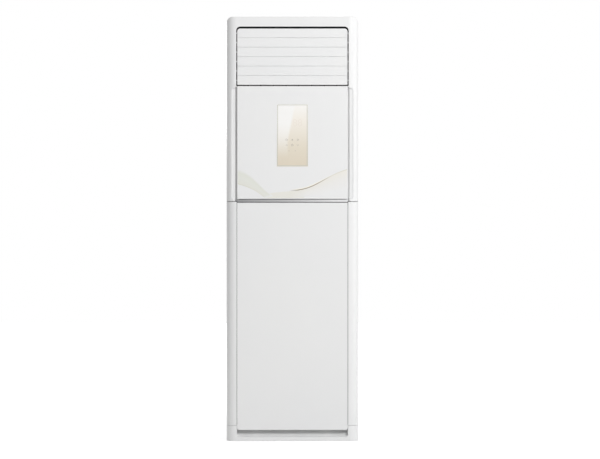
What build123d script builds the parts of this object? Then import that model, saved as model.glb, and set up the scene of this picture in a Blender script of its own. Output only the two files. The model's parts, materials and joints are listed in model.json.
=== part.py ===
from build123d import *

import os
from math import atan2, cos, degrees, radians, sin

# Floor standing air conditioner. Millimetres. +X is the viewer's right, -Y the front, +Z up, floor at z = 0.
# Air enters through slots in the sides of the lower pillars, passes the filters, a centrifugal
# blower lifts it through a slanted coil, and it leaves at the top through vanes and louvres.

os.makedirs("parts", exist_ok=True)

# Case
WIDTH = 560.0
DEPTH = 380.0
HEIGHT = 1800.0
CORNER_R = 40.0  # upright front corners
TOP_R = 25.0  # top corners, seen from the front
REAR_R = 6.0
SKIN = 2.5  # moulded walls
SHEET = 1.0  # steel sheet
MOULDING_DEPTH = 92.0  # front mouldings, from the case front to the sheet metal
PANEL_PROUD = 3.0  # the upper panel's face stands this far out of the case front
FLANGE = 9.5  # turned-in edges of the mouldings
FIT = 0.3  # gap between pieces that slide or turn past each other
RUN = 0.08  # running gap round a pin, on the radius
OVER = 9.0  # how far a cut runs past what it opens
WELD = 1.0  # how far a rib, boss or edge runs into what carries it
CUT = 1.0  # how far a small cut passes through
NEAR = 0.01  # for picking edges by their place
EYE_SIDES = 8  # repeated eyes and sockets, and the coil's tubes, are polygons

# Margins of the front's pieces, from the side of the case
PILLAR_FACE = 43.8
TOE_SIDE = 44.5
OUTLET_SIDE = 42.0
GROOVE_SIDE = 38.0
POCKET_SIDE = 22.0
PANEL_GAP = 1.8  # from a pillar to the lower panel
GROOVE_W = 8.0  # from the frame to the upper panel

# Heights
FOOT_PROUD = 1.5
BASE_TOP = 66.5
BASE_SEAM = 1.0
LOWER_PANEL_LOW = 48.4
LOWER_PANEL_TOP_GAP = 5.0  # below the waist seam
WAIST = 1016.7
WAIST_SEAM = 2.5
UPPER_PANEL_LOW_GAP = 10.6  # above the waist seam
OUTLET_H = 252.2
TOP_BAND = 42.0  # above the air outlet
COVER_DEPTH = 25.0  # top cover, down to its seam
COVER_SEAM = 0.5
SHELF_DROP = 31.7  # middle shelf below the waist seam

# Rear, air way and pipes
REAR_GAP = 10.0  # from the rear sheet's edge to the side of the case
LINER_SIDE = 22.7  # insulation beside the upper air way
LINER_REAR_T = 29.7
SUCTION_R = 8.0
SUCTION_SIDE = 17.0  # pipe's centre from the air way's side
SUCTION_LOW = 200.0
LIQUID_R = 5.0
LIQUID_SIDE = 10.0
LIQUID_LOW = 250.0
NUT_GROW = 6.0  # a union nut's corners outside its pipe
SEAL_T = 3.0
SEAL_LIP = 6.0
SEAL_PLAY = 1.5  # round the nuts

HALF = WIDTH / 2
CASE_FRONT = PANEL_PROUD - DEPTH / 2
REAR = DEPTH / 2
REAR_IN = REAR - 2 * SHEET  # inner face of the rear sheet
SEAM_Y = CASE_FRONT + MOULDING_DEPTH
SKIN_BACK = CASE_FRONT + SKIN
PILLAR_INNER = HALF - PILLAR_FACE
LOWER_HALF = PILLAR_INNER - PANEL_GAP
GROOVE_HALF = HALF - GROOVE_SIDE  # outer side of the groove beside the upper panel
UPPER_HALF = GROOVE_HALF - GROOVE_W
LOWER_PANEL_HIGH = WAIST - LOWER_PANEL_TOP_GAP
UPPER_PANEL_LOW = WAIST + UPPER_PANEL_LOW_GAP
OUTLET_HIGH = HEIGHT - TOP_BAND
OUTLET_LOW = OUTLET_HIGH - OUTLET_H
COVER_LOW = HEIGHT - COVER_DEPTH
SHEET_HIGH = COVER_LOW - COVER_SEAM
SHELF_Z = WAIST - SHELF_DROP
REAR_HALF = HALF - REAR_GAP
LINER_HALF = REAR_HALF - SHEET - FIT
LINER_IN = LINER_HALF - LINER_SIDE
LINER_REAR = REAR_IN - FIT
LINER_BACK = LINER_REAR - LINER_REAR_T
SUCTION_X = LINER_IN - SUCTION_SIDE
LIQUID_X = LINER_IN - LIQUID_SIDE


def write(piece, name):
    """Label a finished piece and write it."""
    piece.part.label = name
    export_step(piece.part, f"parts/{name}.step")


def block(x, y, z, mode=Mode.ADD):
    """A box between two limits along each axis."""
    with Locations(((x[0] + x[1]) / 2, (y[0] + y[1]) / 2, (z[0] + z[1]) / 2)):
        Box(x[1] - x[0], y[1] - y[0], z[1] - z[0], mode=mode)


def span(a, b):
    """The two limits in rising order."""
    return (min(a, b), max(a, b))


def facing_front(y):
    """The plane at depth y whose x is X and y is Z; extruding by a positive amount goes forward."""
    return Plane.XZ.offset(-y)


def facing_side(x):
    """The plane at x whose x is Y and y is Z; extruding by a positive amount goes to +X."""
    return Plane.YZ.offset(x)


def rod(plane, centre, radius, length, mode=Mode.ADD):
    """A round bar of the given length, square to a plane."""
    with BuildSketch(plane) as section:
        with Locations(centre):
            Circle(radius)
    extrude(section.sketch, amount=length, mode=mode)


def eye(radius):
    """The outline of an eye or socket whose flats clear a pin of the given radius."""
    RegularPolygon(radius + RUN, EYE_SIDES, major_radius=False)


def footprint(z, inset=0.0):
    """The plan of the whole case at height z, inset all round."""
    with BuildSketch(Plane.XY.offset(z)) as plan:
        with Locations((0, (CASE_FRONT + REAR) / 2)):
            Rectangle(WIDTH - 2 * inset, REAR - CASE_FRONT - 2 * inset)
        fillet(plan.vertices().group_by(Axis.Y)[0], CORNER_R - inset)
        fillet(plan.vertices().group_by(Axis.Y)[-1], REAR_R - inset)
    return plan.sketch


def outline(y, x, z, top_r=0.0, low_r=0.0):
    """A rectangle facing the front at depth y, with its top and lower corners rounded."""
    with BuildSketch(facing_front(y)) as shape:
        with Locations(((x[0] + x[1]) / 2, (z[0] + z[1]) / 2)):
            Rectangle(x[1] - x[0], z[1] - z[0])
        if top_r:
            fillet(shape.vertices().group_by(Axis.Y)[-1], top_r)
        if low_r:
            fillet(shape.vertices().group_by(Axis.Y)[0], low_r)
    return shape.sketch


def profile(x, points):
    """A polygon seen from the side, at x, from (y, z) points."""
    with BuildSketch(facing_side(x)) as shape:
        with BuildLine():
            Polyline(*points, close=True)
        make_face()
    return shape.sketch


def case_block(y_back, low, inset):
    """The solid of the case front down to a height, with its rounded corners, inset all round."""
    with BuildPart() as solid:
        extrude(footprint(low, inset), amount=HEIGHT - inset - low)
        view = outline(y_back, (inset - HALF, HALF - inset), (low - CUT, HEIGHT - inset), TOP_R - inset)
        extrude(view, amount=y_back - CASE_FRONT + CUT, mode=Mode.INTERSECT)
    return solid.part


# ---------------------------------------------------------------- base and feet

BASE_WALL = 3.0
TOE_LOW = 17.8  # top of the lip under the toe recess
TOE_DEPTH = 32.0
TOE_BELLY = 5.0  # how far the cove bulges below its chord
TOE_CORNER_R = 12.0
LIP = 3.0
FOOT_R = 18.0
FOOT_H = 8.0
FOOT_SIDE = 55.0  # foot's centre from the side of the case
FOOT_FRONT = 57.0
FOOT_REAR = 40.0
FOOT_BOSS = 2.0  # wall round a foot's boss
BASE_RIB_X = 75.0
BASE_RIB_LOW = 20.0
TAB_X = 150.0  # lower hooks of the lower front panel
TAB_HALF = 10.0
TAB_Z = 56.0
TAB_T = 2.5

TOE_HALF = HALF - TOE_SIDE
TOE_BACK = CASE_FRONT + TOE_DEPTH
FEET_Y = (CASE_FRONT + FOOT_FRONT, REAR - FOOT_REAR)
FEET = [(x, y) for x in (FOOT_SIDE - HALF, HALF - FOOT_SIDE) for y in FEET_Y]


def toe_recess(grow):
    """The toe recess with the panel's seat above it, grown all round."""
    with BuildPart() as recess:
        with BuildSketch(Plane.YZ) as cove:
            with BuildLine():
                Polyline((TOE_BACK, LOWER_PANEL_LOW), (TOE_BACK, BASE_TOP + OVER),
                         (CASE_FRONT - OVER, BASE_TOP + OVER), (CASE_FRONT - OVER, TOE_LOW),
                         (CASE_FRONT + LIP, TOE_LOW))
                SagittaArc((CASE_FRONT + LIP, TOE_LOW), (TOE_BACK, LOWER_PANEL_LOW), -TOE_BELLY)
            make_face()
            if grow:
                offset(amount=grow, kind=Kind.INTERSECTION)
        wide = TOE_HALF + grow
        extrude(amount=wide, both=True)
        high = (TOE_LOW - grow, BASE_TOP + OVER)
        front = outline(TOE_BACK + OVER, (-wide, wide), high, low_r=TOE_CORNER_R + grow)
        extrude(front, amount=TOE_DEPTH + 2 * OVER, mode=Mode.INTERSECT)
    return recess.part


with BuildPart() as base_hollow:
    extrude(footprint(0, BASE_WALL), amount=BASE_TOP - BASE_WALL)
    add(toe_recess(BASE_WALL), mode=Mode.SUBTRACT)

with BuildPart() as base:
    extrude(footprint(FOOT_PROUD), amount=BASE_TOP - FOOT_PROUD)
    add(toe_recess(0.0), mode=Mode.SUBTRACT)
    add(base_hollow.part, mode=Mode.SUBTRACT)
    for foot in FEET:
        rod(Plane.XY.offset(FOOT_H), foot, FOOT_R + FOOT_BOSS, BASE_TOP - BASE_WALL - FOOT_H)
    for rib_x in (-BASE_RIB_X, BASE_RIB_X):
        rib = (rib_x - BASE_WALL / 2, rib_x + BASE_WALL / 2)
        block(rib, (TOE_BACK + BASE_WALL - WELD, REAR - WELD), (BASE_RIB_LOW, BASE_TOP - WELD))
    for tab_x in (-TAB_X, TAB_X):
        hole_x = (tab_x - TAB_HALF - FIT, tab_x + TAB_HALF + FIT)
        hole_y = (TOE_BACK - WELD, TOE_BACK + BASE_WALL + WELD)
        block(hole_x, hole_y, (TAB_Z - FIT, TAB_Z + TAB_T + FIT), Mode.SUBTRACT)
write(base, "base")

with BuildPart() as feet:
    for foot in FEET:
        rod(Plane.XY, foot, FOOT_R, FOOT_H)
write(feet, "feet")

# ---------------------------------------------------------------- sheet metal case

PANEL_RETURN = 22.0  # width of the side panels' turned-in edges
REAR_FLANGE = 12.0
CABLE_X = -150.0
CABLE_Z = 150.0
GLAND_R = 12.0
DRAIN_SIDE = 18.0  # drain spigot's centre from the air way's side
DRAIN_Z = 110.0
HOSE_R = 9.0
TIE_X = 180.0  # holes for the anti-tip strap
TIE_DROP = 12.0
TIE_R = 3.3
COVER_T = 1.5

DRAIN_X = DRAIN_SIDE - LINER_IN
TIE_Z = HEIGHT - TIE_DROP
HOLE_MARGIN = NUT_GROW + SEAL_PLAY + SEAL_T
PIPE_HOLE_X = (SUCTION_X - SUCTION_R - HOLE_MARGIN, LIQUID_X + LIQUID_R + HOLE_MARGIN)
PIPE_HOLE_Z = (SUCTION_LOW - SUCTION_R - HOLE_MARGIN, LIQUID_LOW + LIQUID_R + HOLE_MARGIN)

for side, name in ((-1, "left_side_panel"), (1, "right_side_panel")):
    with BuildPart() as side_panel:
        extrude(footprint(BASE_TOP), amount=SHEET_HIGH - BASE_TOP)
        extrude(footprint(BASE_TOP, SHEET), amount=SHEET_HIGH - BASE_TOP, mode=Mode.SUBTRACT)
        keep = span(side * (HALF - PANEL_RETURN), side * (HALF + CUT))
        block(keep, (SEAM_Y, REAR + CUT), (BASE_TOP, SHEET_HIGH), Mode.INTERSECT)
        edge = span(side * (HALF - FLANGE), side * HALF)
        block(edge, (SEAM_Y, SEAM_Y + SHEET), (BASE_TOP, SHEET_HIGH))
    write(side_panel, name)

with BuildPart() as rear_panel:
    block((-REAR_HALF, REAR_HALF), (REAR_IN, REAR_IN + SHEET), (BASE_TOP, SHEET_HIGH))
    for side in (-1, 1):
        edge = span(side * REAR_HALF, side * (REAR_HALF - SHEET))
        block(edge, (REAR_IN - REAR_FLANGE, REAR_IN), (BASE_TOP, SHEET_HIGH))
    block(PIPE_HOLE_X, (REAR_IN - CUT, REAR), PIPE_HOLE_Z, Mode.SUBTRACT)
    rod(facing_front(REAR), (CABLE_X, CABLE_Z), GLAND_R + RUN, 2 * SHEET, Mode.SUBTRACT)
    rod(facing_front(REAR), (DRAIN_X, DRAIN_Z), HOSE_R + FIT, 2 * SHEET, Mode.SUBTRACT)
write(rear_panel, "rear_panel")

with BuildPart() as top_cover:
    extrude(outline(SEAM_Y, (-HALF, HALF), (COVER_LOW, HEIGHT), TOP_R), amount=SEAM_Y - REAR)
    extrude(footprint(COVER_LOW), amount=COVER_DEPTH, mode=Mode.INTERSECT)
    inner = (COVER_T - HALF, HALF - COVER_T)
    hollow = outline(SEAM_Y, inner, (COVER_LOW, HEIGHT - COVER_T), TOP_R - COVER_T)
    extrude(hollow, amount=SEAM_Y - REAR + COVER_T, mode=Mode.SUBTRACT)
    for tie_x in (-TIE_X, TIE_X):
        rod(facing_front(REAR + CUT), (tie_x, TIE_Z), TIE_R, COVER_T + 2 * CUT, Mode.SUBTRACT)
write(top_cover, "top_cover")

# ---------------------------------------------------------------- upper front frame

OUTLET_R = 17.0
OUTLET_BEVEL = 1.2
GROOVE_DEPTH = 17.0
POCKET_DEPTH = 7.0
POCKET_DROP = 2.3  # below the upper panel's lower edge
POCKET_TOP_DROP = 8.5  # below the air outlet
POCKET_R = 12.0

OUTLET_HALF = HALF - OUTLET_SIDE
POCKET_HALF = HALF - POCKET_SIDE
POCKET_LOW = UPPER_PANEL_LOW - POCKET_DROP
POCKET_HIGH = OUTLET_LOW - POCKET_TOP_DROP
WALL_Y = CASE_FRONT + GROOVE_DEPTH  # front of the wall behind the upper panel
FRAME_LOW = WAIST + WAIST_SEAM / 2


def front_recesses(grow):
    """The upper panel's seat and the shallow pockets beside it, grown all round by a wall."""
    with BuildPart() as cut:
        seat_x = GROOVE_HALF + grow
        seat = outline(WALL_Y + grow, (-seat_x, seat_x), (FRAME_LOW - OVER, OUTLET_LOW - SKIN + grow))
        extrude(seat, amount=GROOVE_DEPTH + grow + OVER)
        pocket_x = POCKET_HALF + grow
        high_low = (POCKET_LOW - grow, POCKET_HIGH + grow)
        pocket_y = CASE_FRONT + POCKET_DEPTH + grow
        pocket = outline(pocket_y, (-pocket_x, pocket_x), high_low, POCKET_R + grow, POCKET_R + grow)
        extrude(pocket, amount=POCKET_DEPTH + grow + OVER)
    return cut.part


with BuildPart() as frame_hollow:
    add(case_block(SEAM_Y - SKIN, FRAME_LOW - CUT, SKIN))
    behind = (-HALF, HALF)
    block(behind, (CASE_FRONT - CUT, SEAM_Y - SKIN), (FRAME_LOW - CUT, HEIGHT), Mode.INTERSECT)
    add(front_recesses(SKIN), mode=Mode.SUBTRACT)

with BuildPart() as upper_front_frame:
    add(case_block(SEAM_Y, FRAME_LOW, 0.0))
    block((-HALF, HALF), (CASE_FRONT - CUT, SEAM_Y), (FRAME_LOW, HEIGHT), Mode.INTERSECT)
    add(front_recesses(0.0), mode=Mode.SUBTRACT)
    add(frame_hollow.part, mode=Mode.SUBTRACT)
    way_x = HALF - FLANGE
    rear_way = outline(SEAM_Y + OVER, (-way_x, way_x), (FRAME_LOW - OVER, HEIGHT - FLANGE), TOP_R - FLANGE)
    extrude(rear_way, amount=SKIN + OVER, mode=Mode.SUBTRACT)
    mouth = outline(SKIN_BACK, (-OUTLET_HALF, OUTLET_HALF), (OUTLET_LOW, OUTLET_HIGH), OUTLET_R)
    extrude(mouth, amount=SKIN + OVER, mode=Mode.SUBTRACT)
    front_edges = upper_front_frame.edges().filter_by_position(Axis.Y, CASE_FRONT - NEAR, CASE_FRONT + NEAR)
    rim = front_edges.filter_by_position(Axis.X, -OUTLET_HALF - NEAR, OUTLET_HALF + NEAR)
    chamfer(rim.filter_by_position(Axis.Z, OUTLET_LOW + NEAR, OUTLET_HIGH + NEAR), OUTLET_BEVEL)
write(upper_front_frame, "upper_front_frame")

# ---------------------------------------------------------------- lower pillars and filters

PILLAR_RETURN = 15.0
FILTER_RISE = 63.5  # filter's lower edge above the base
FILTER_DROP = 66.7  # filter's upper edge below the waist seam
FILTER_T = 5.0
FILTER_BAR = 5.0
FILTER_CELLS = 8
FILTER_MESH = 0.8
GUIDE_T = 2.5
GUIDE_DEPTH = 9.0
SLOT_H = 9.0
SLOT_PITCH = 23.0
SLOT_END = 4.0  # solid strip left between the slots and the filter's edge
FILTER_PLAY = 2.0  # from the filter to the pillar's skin

PILLAR_LOW = BASE_TOP + BASE_SEAM
PILLAR_HIGH = WAIST - WAIST_SEAM / 2
FILTER_LOW = BASE_TOP + FILTER_RISE
FILTER_HIGH = WAIST - FILTER_DROP
FILTER_H = FILTER_HIGH - FILTER_LOW
FILTER_FRONT = CASE_FRONT + CORNER_R + GUIDE_T + 2 * FIT
FILTER_BACK = SEAM_Y - SKIN - FIT
FILTER_OUT = HALF - SKIN - FILTER_PLAY  # outer face of the filter, from the centre
SLOT_LENGTH = FILTER_BACK - FILTER_FRONT - 2 * SLOT_END
SLOT_COUNT = int((FILTER_H - 2 * SLOT_END) / SLOT_PITCH)
SLOT_MID = ((FILTER_FRONT + FILTER_BACK) / 2, (FILTER_LOW + FILTER_HIGH) / 2)

for side, word in ((-1, "left"), (1, "right")):
    upright = (PILLAR_LOW, PILLAR_HIGH)
    with BuildPart() as pillar:
        extrude(footprint(PILLAR_LOW), amount=PILLAR_HIGH - PILLAR_LOW)
        extrude(footprint(PILLAR_LOW, SKIN), amount=PILLAR_HIGH - PILLAR_LOW, mode=Mode.SUBTRACT)
        keep = span(side * PILLAR_INNER, side * (HALF + WELD))
        block(keep, (CASE_FRONT - WELD, SEAM_Y), upright, Mode.INTERSECT)
        edge = span(side * PILLAR_INNER, side * (PILLAR_INNER + SKIN))
        block(edge, (CASE_FRONT, CASE_FRONT + PILLAR_RETURN), upright)
        block(span(side * (HALF - FLANGE), side * HALF), (SEAM_Y - SKIN, SEAM_Y), upright)
        guide = span(side * (HALF - WELD), side * (HALF - SKIN - GUIDE_DEPTH))
        guide_front = FILTER_FRONT - FIT - GUIDE_T
        guide_low = FILTER_LOW - FIT - GUIDE_T
        guide_high = FILTER_HIGH + FIT + GUIDE_T
        block(guide, (guide_front, FILTER_FRONT - FIT), (guide_low, guide_high))
        block(guide, (guide_front, SEAM_Y), (guide_low, guide_low + GUIDE_T))
        block(guide, (guide_front, SEAM_Y), (guide_high - GUIDE_T, guide_high))
        with BuildSketch(facing_side(span(side * (HALF + CUT), side * (HALF - SKIN - CUT))[0])) as slots:
            with Locations(SLOT_MID), GridLocations(1, SLOT_PITCH, 1, SLOT_COUNT):
                Rectangle(SLOT_LENGTH, SLOT_H)
        extrude(amount=SKIN + 2 * CUT, mode=Mode.SUBTRACT)
    write(pillar, f"{word}_lower_pillar")

    with BuildPart() as air_filter:
        x = span(side * FILTER_OUT, side * (FILTER_OUT - FILTER_T))
        block(x, (FILTER_FRONT, FILTER_BACK), (FILTER_LOW, FILTER_HIGH))
        cell_y = FILTER_BACK - FILTER_FRONT - 2 * FILTER_BAR
        cell_z = (FILTER_H - FILTER_BAR) / FILTER_CELLS - FILTER_BAR
        for deep in (0.0, FILTER_T / 2 + FILTER_MESH / 2):
            start = facing_side(x[0] + deep)
            with BuildSketch(start) as cells:
                with Locations(SLOT_MID), GridLocations(1, cell_z + FILTER_BAR, 1, FILTER_CELLS):
                    Rectangle(cell_y, cell_z)
            extrude(amount=(FILTER_T - FILTER_MESH) / 2, mode=Mode.SUBTRACT)
    write(air_filter, f"filter_{word}")

# ---------------------------------------------------------------- middle shelf and lower front panel

SHELF_T = 2.0
SHELF_INSET = 27.0  # front edge of the shelf behind the case front
SHELF_NOSE_GAP = 8.2  # from the pillars
SHELF_APRON = 30.0
SHELF_LAP = 2.0  # nose of the shelf behind the case's seam
LOWER_DEPTH = 12.0
LOWER_CORNER_R = 10.0
RIB_T = 2.0
RIB_DEPTH = 9.0
PEG_X = 180.0
PEG_R = 4.0
PEG_TIP = 8.0
TAB_TIP = 6.0
LEVEL_RIBS = 7
UPRIGHT_RIBS = 3

AXIS_X = 20.0  # blower shaft
AXIS_DROP = 285.0  # blower shaft below the shelf
SCROLL_STEP = 22.0  # growth of the scroll each quarter turn
SCROLL_T = 2.5
SCROLL_DEPTH = 150.0
SCROLL_REAR_GAP = 93.0  # room for the motor behind the scroll
SCROLL_PLAY = 2.5  # from the scroll to the suction pipe
CUTOFF = 60.0  # angle of the cut-off above the shaft's right side
SCROLL_FLANGE = 10.0
PIPE_PLAY = 4.0
SPIGOT_R = 6.8
SPIGOT_PLAY = 1.0

AXIS_Z = SHELF_Z - AXIS_DROP
SCROLL_R = SUCTION_X - SUCTION_R - SCROLL_PLAY - SCROLL_T - SCROLL_STEP / 2 - AXIS_X  # at the cut-off
SCROLL_BACK = REAR_IN - SCROLL_REAR_GAP
SCROLL_FRONT = SCROLL_BACK - SCROLL_DEPTH
SHELF_TOP = SHELF_Z + SHELF_T
SHELF_FRONT = CASE_FRONT + SHELF_INSET
SHELF_NOSE_HALF = PILLAR_INNER - SHELF_NOSE_GAP
PEG_Z = SHELF_Z - SHELF_APRON / 2
SCROLL_LEFT = AXIS_X - SCROLL_STEP / 2 - SCROLL_R - 2 * SCROLL_STEP
SCROLL_RIGHT = AXIS_X + SCROLL_STEP / 2 + SCROLL_R * cos(radians(CUTOFF))

COIL_TILT = 28.6  # from upright, leaning back
COIL_REACH = 140.5  # coil's middle in front of the air way's back
COIL_RISE = 285.5  # coil's middle above the shelf
COIL_SIDE = 31.0  # room for the pipes beside the coil
COIL_LENGTH = 450.0
COIL_T = 50.0
SUCTION_BACK = 34.5  # suction pipe behind the coil's middle
PAN_REACH = 75.5  # pan's rear edge in front of the coil's middle
DRAIN_INSET = 17.0  # spigot's centre from the pan's rear edge

COIL_Y = LINER_BACK - COIL_REACH
COIL_Z = SHELF_TOP + COIL_RISE
COIL_HALF = LINER_IN - COIL_SIDE
SUCTION_Y = COIL_Y + SUCTION_BACK
PAN_BACK = COIL_Y - PAN_REACH
DRAIN_Y = PAN_BACK - DRAIN_INSET
coil_front = (0, -cos(radians(COIL_TILT)), sin(radians(COIL_TILT)))
coil = Plane((0, COIL_Y, COIL_Z), x_dir=(1, 0, 0), z_dir=coil_front)
LIQUID_UP = 70.0  # the liquid pipe's outlet, along the coil from its middle
LIQUID_BACK = 22.0
LIQUID_Y = coil.from_local_coords((0, LIQUID_UP, -LIQUID_BACK)).Y
LIQUID_TOP = coil.from_local_coords((0, LIQUID_UP, -LIQUID_BACK)).Z

with BuildPart() as middle_shelf:
    wide = HALF - 2 * SHEET
    side_y = (SEAM_Y + SHEET + FIT, REAR_IN - REAR_FLANGE - FIT)
    block((-wide, wide), side_y, (SHELF_Z, SHELF_TOP))
    narrow = REAR_HALF - SHEET - FIT
    block((-narrow, narrow), (REAR_IN - REAR_FLANGE - CUT, REAR_IN), (SHELF_Z, SHELF_TOP))
    nose = (-SHELF_NOSE_HALF, SHELF_NOSE_HALF)
    block(nose, (SHELF_FRONT, SEAM_Y + SHELF_LAP), (SHELF_Z, SHELF_TOP))
    block(nose, (SHELF_FRONT, SHELF_FRONT + SHELF_T), (SHELF_Z - SHELF_APRON, SHELF_TOP))
    for side in (-1, 1):
        edge = span(side * wide, side * (wide - SHELF_T))
        block(edge, side_y, (SHELF_Z - SHELF_APRON / 2, SHELF_Z))
        peg_hole = facing_front(SHELF_FRONT + SHELF_T + OVER)
        rod(peg_hole, (side * PEG_X, PEG_Z), PEG_R + FIT, SHELF_T + 2 * OVER, Mode.SUBTRACT)
    throat = (SCROLL_FRONT + SCROLL_T, SCROLL_BACK - SCROLL_T)
    through = (SHELF_Z - OVER, SHELF_TOP + OVER)
    block((SCROLL_LEFT, SCROLL_RIGHT), throat, through, Mode.SUBTRACT)
    pipe_x = (SUCTION_X - SUCTION_R - PIPE_PLAY, LIQUID_X + LIQUID_R + PIPE_PLAY)
    pipe_y = (SUCTION_Y - SUCTION_R - PIPE_PLAY, LIQUID_Y + LIQUID_R + PIPE_PLAY)
    block(pipe_x, pipe_y, through, Mode.SUBTRACT)
    spigot_r = SPIGOT_R + SPIGOT_PLAY
    rod(Plane.XY.offset(through[0]), (DRAIN_X, DRAIN_Y), spigot_r, SHELF_T + 2 * OVER, Mode.SUBTRACT)
write(middle_shelf, "middle_shelf")

with BuildPart() as lower_front_panel:
    panel_y = CASE_FRONT + LOWER_DEPTH
    z = (LOWER_PANEL_LOW, LOWER_PANEL_HIGH)
    extrude(outline(panel_y, (-LOWER_HALF, LOWER_HALF), z, low_r=LOWER_CORNER_R), amount=LOWER_DEPTH)
    inner = LOWER_HALF - SKIN
    tray = outline(panel_y, (-inner, inner), (z[0] + SKIN, z[1] - SKIN), low_r=LOWER_CORNER_R - SKIN)
    extrude(tray, amount=LOWER_DEPTH - SKIN, mode=Mode.SUBTRACT)
    rib_y = (SKIN_BACK - WELD, SKIN_BACK + RIB_DEPTH)
    for step in range(UPRIGHT_RIBS):
        rib_x = 2 * LOWER_HALF * ((step + 1) / (UPRIGHT_RIBS + 1) - 0.5)
        block((rib_x - RIB_T / 2, rib_x + RIB_T / 2), rib_y, (z[0] + WELD, z[1] - WELD))
    for step in range(LEVEL_RIBS):
        rib_z = z[0] + (z[1] - z[0]) * (step + 1) / (LEVEL_RIBS + 1)
        block((WELD - LOWER_HALF, LOWER_HALF - WELD), rib_y, (rib_z - RIB_T / 2, rib_z + RIB_T / 2))
    for side in (-1, 1):
        tab = (side * TAB_X - TAB_HALF, side * TAB_X + TAB_HALF)
        block(tab, (SKIN_BACK - WELD, TOE_BACK + BASE_WALL + TAB_TIP), (TAB_Z, TAB_Z + TAB_T))
        peg_back = SHELF_FRONT + SHELF_T + PEG_TIP
        rod(facing_front(peg_back), (side * PEG_X, PEG_Z), PEG_R, peg_back - SKIN_BACK + WELD)
write(lower_front_panel, "lower_front_panel")

# ---------------------------------------------------------------- waist trim, upper panel and display

TRIM_PLAY = 0.2  # from the trim's end to the pillar
TRIM_DROP = 1.9  # trim's lower edge below the waist seam
TRIM_H = 9.4
TRIM_DEPTH = 6.0
TRIM_PROUD = 0.5
TRIM_WEB = 2.5
TRIM_WEB_RISE = 1.0  # web's lower face above the upper frame's lower edge
TRIM_WEB_INSET = 10.0  # web's ends from the trim's ends
TRIM_END = 0.1  # flat left at the middle of the rounded ends
UPPER_EDGE = 1.2
UPPER_RETURN = 13.0
UPPER_INSET = 1.8
UPPER_WALL = 2.2
BOSS_R = 5.0
BOSS_INSET = (34.0, 50.0)  # fixing bosses from the panel's side and from its ends
WINDOW_HALF = 65.8
WINDOW_H = 263.7
WINDOW_SHARE = 0.671  # of the panel's spare height, the part that lies under the window
WINDOW_PLAY = 0.2
WINDOW_EDGE = 0.4
WINDOW_LEDGE = 6.0
LEDGE_T = 2.5
BOARD_GAP = 9.0  # from the back of the panel's face to the display board
BOARD_T = 1.6
POST_INSET = 3.0
BOARD_POST_R = 2.5
KEY_HALF = 5.0
KEY_PITCH = (23.0, 21.5)
KEY_RISE = 101.0  # middle of the keys above the window's lower edge
DIGITS_HALF = (30.0, 25.0)
DIGITS_DROP = 60.0
DIGITS_T = 6.0
PLUG_HALF = 20.0
PLUG_Z = (20.0, 45.0)  # connector's edges above the board's lower edge
PLUG_T = 4.0

TRIM_HALF = PILLAR_INNER - TRIM_PLAY
TRIM_LOW = WAIST - TRIM_DROP
BACK_LOW = UPPER_PANEL_LOW + UPPER_INSET  # the panel's rear edges
BACK_HIGH = OUTLET_LOW - SKIN - FIT
SPARE_LOW = BACK_LOW + UPPER_WALL + FIT + 2 * WINDOW_LEDGE
SPARE_H = BACK_HIGH - UPPER_WALL - FIT - 2 * WINDOW_LEDGE - SPARE_LOW - WINDOW_H
WINDOW_LOW = SPARE_LOW + SPARE_H * WINDOW_SHARE

with BuildPart() as waist_trim:
    strip_y = CASE_FRONT - TRIM_PROUD + TRIM_DEPTH
    end_r = TRIM_H / 2 - TRIM_END
    strip = outline(strip_y, (-TRIM_HALF, TRIM_HALF), (TRIM_LOW, TRIM_LOW + TRIM_H), end_r, end_r)
    extrude(strip, amount=TRIM_DEPTH)
    web_x = TRIM_HALF - TRIM_WEB_INSET
    web_z = FRAME_LOW + TRIM_WEB_RISE
    block((-web_x, web_x), (strip_y - WELD, WALL_Y), (web_z, web_z + TRIM_WEB))
write(waist_trim, "waist_trim")

WINDOW_HIGH = WINDOW_LOW + WINDOW_H
FACE_BACK = CASE_FRONT
BOARD_Y = FACE_BACK + BOARD_GAP
LEDGE_HALF = WINDOW_HALF + 2 * WINDOW_LEDGE
LEDGE_Z = (WINDOW_LOW - 2 * WINDOW_LEDGE, WINDOW_HIGH + 2 * WINDOW_LEDGE)

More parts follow.
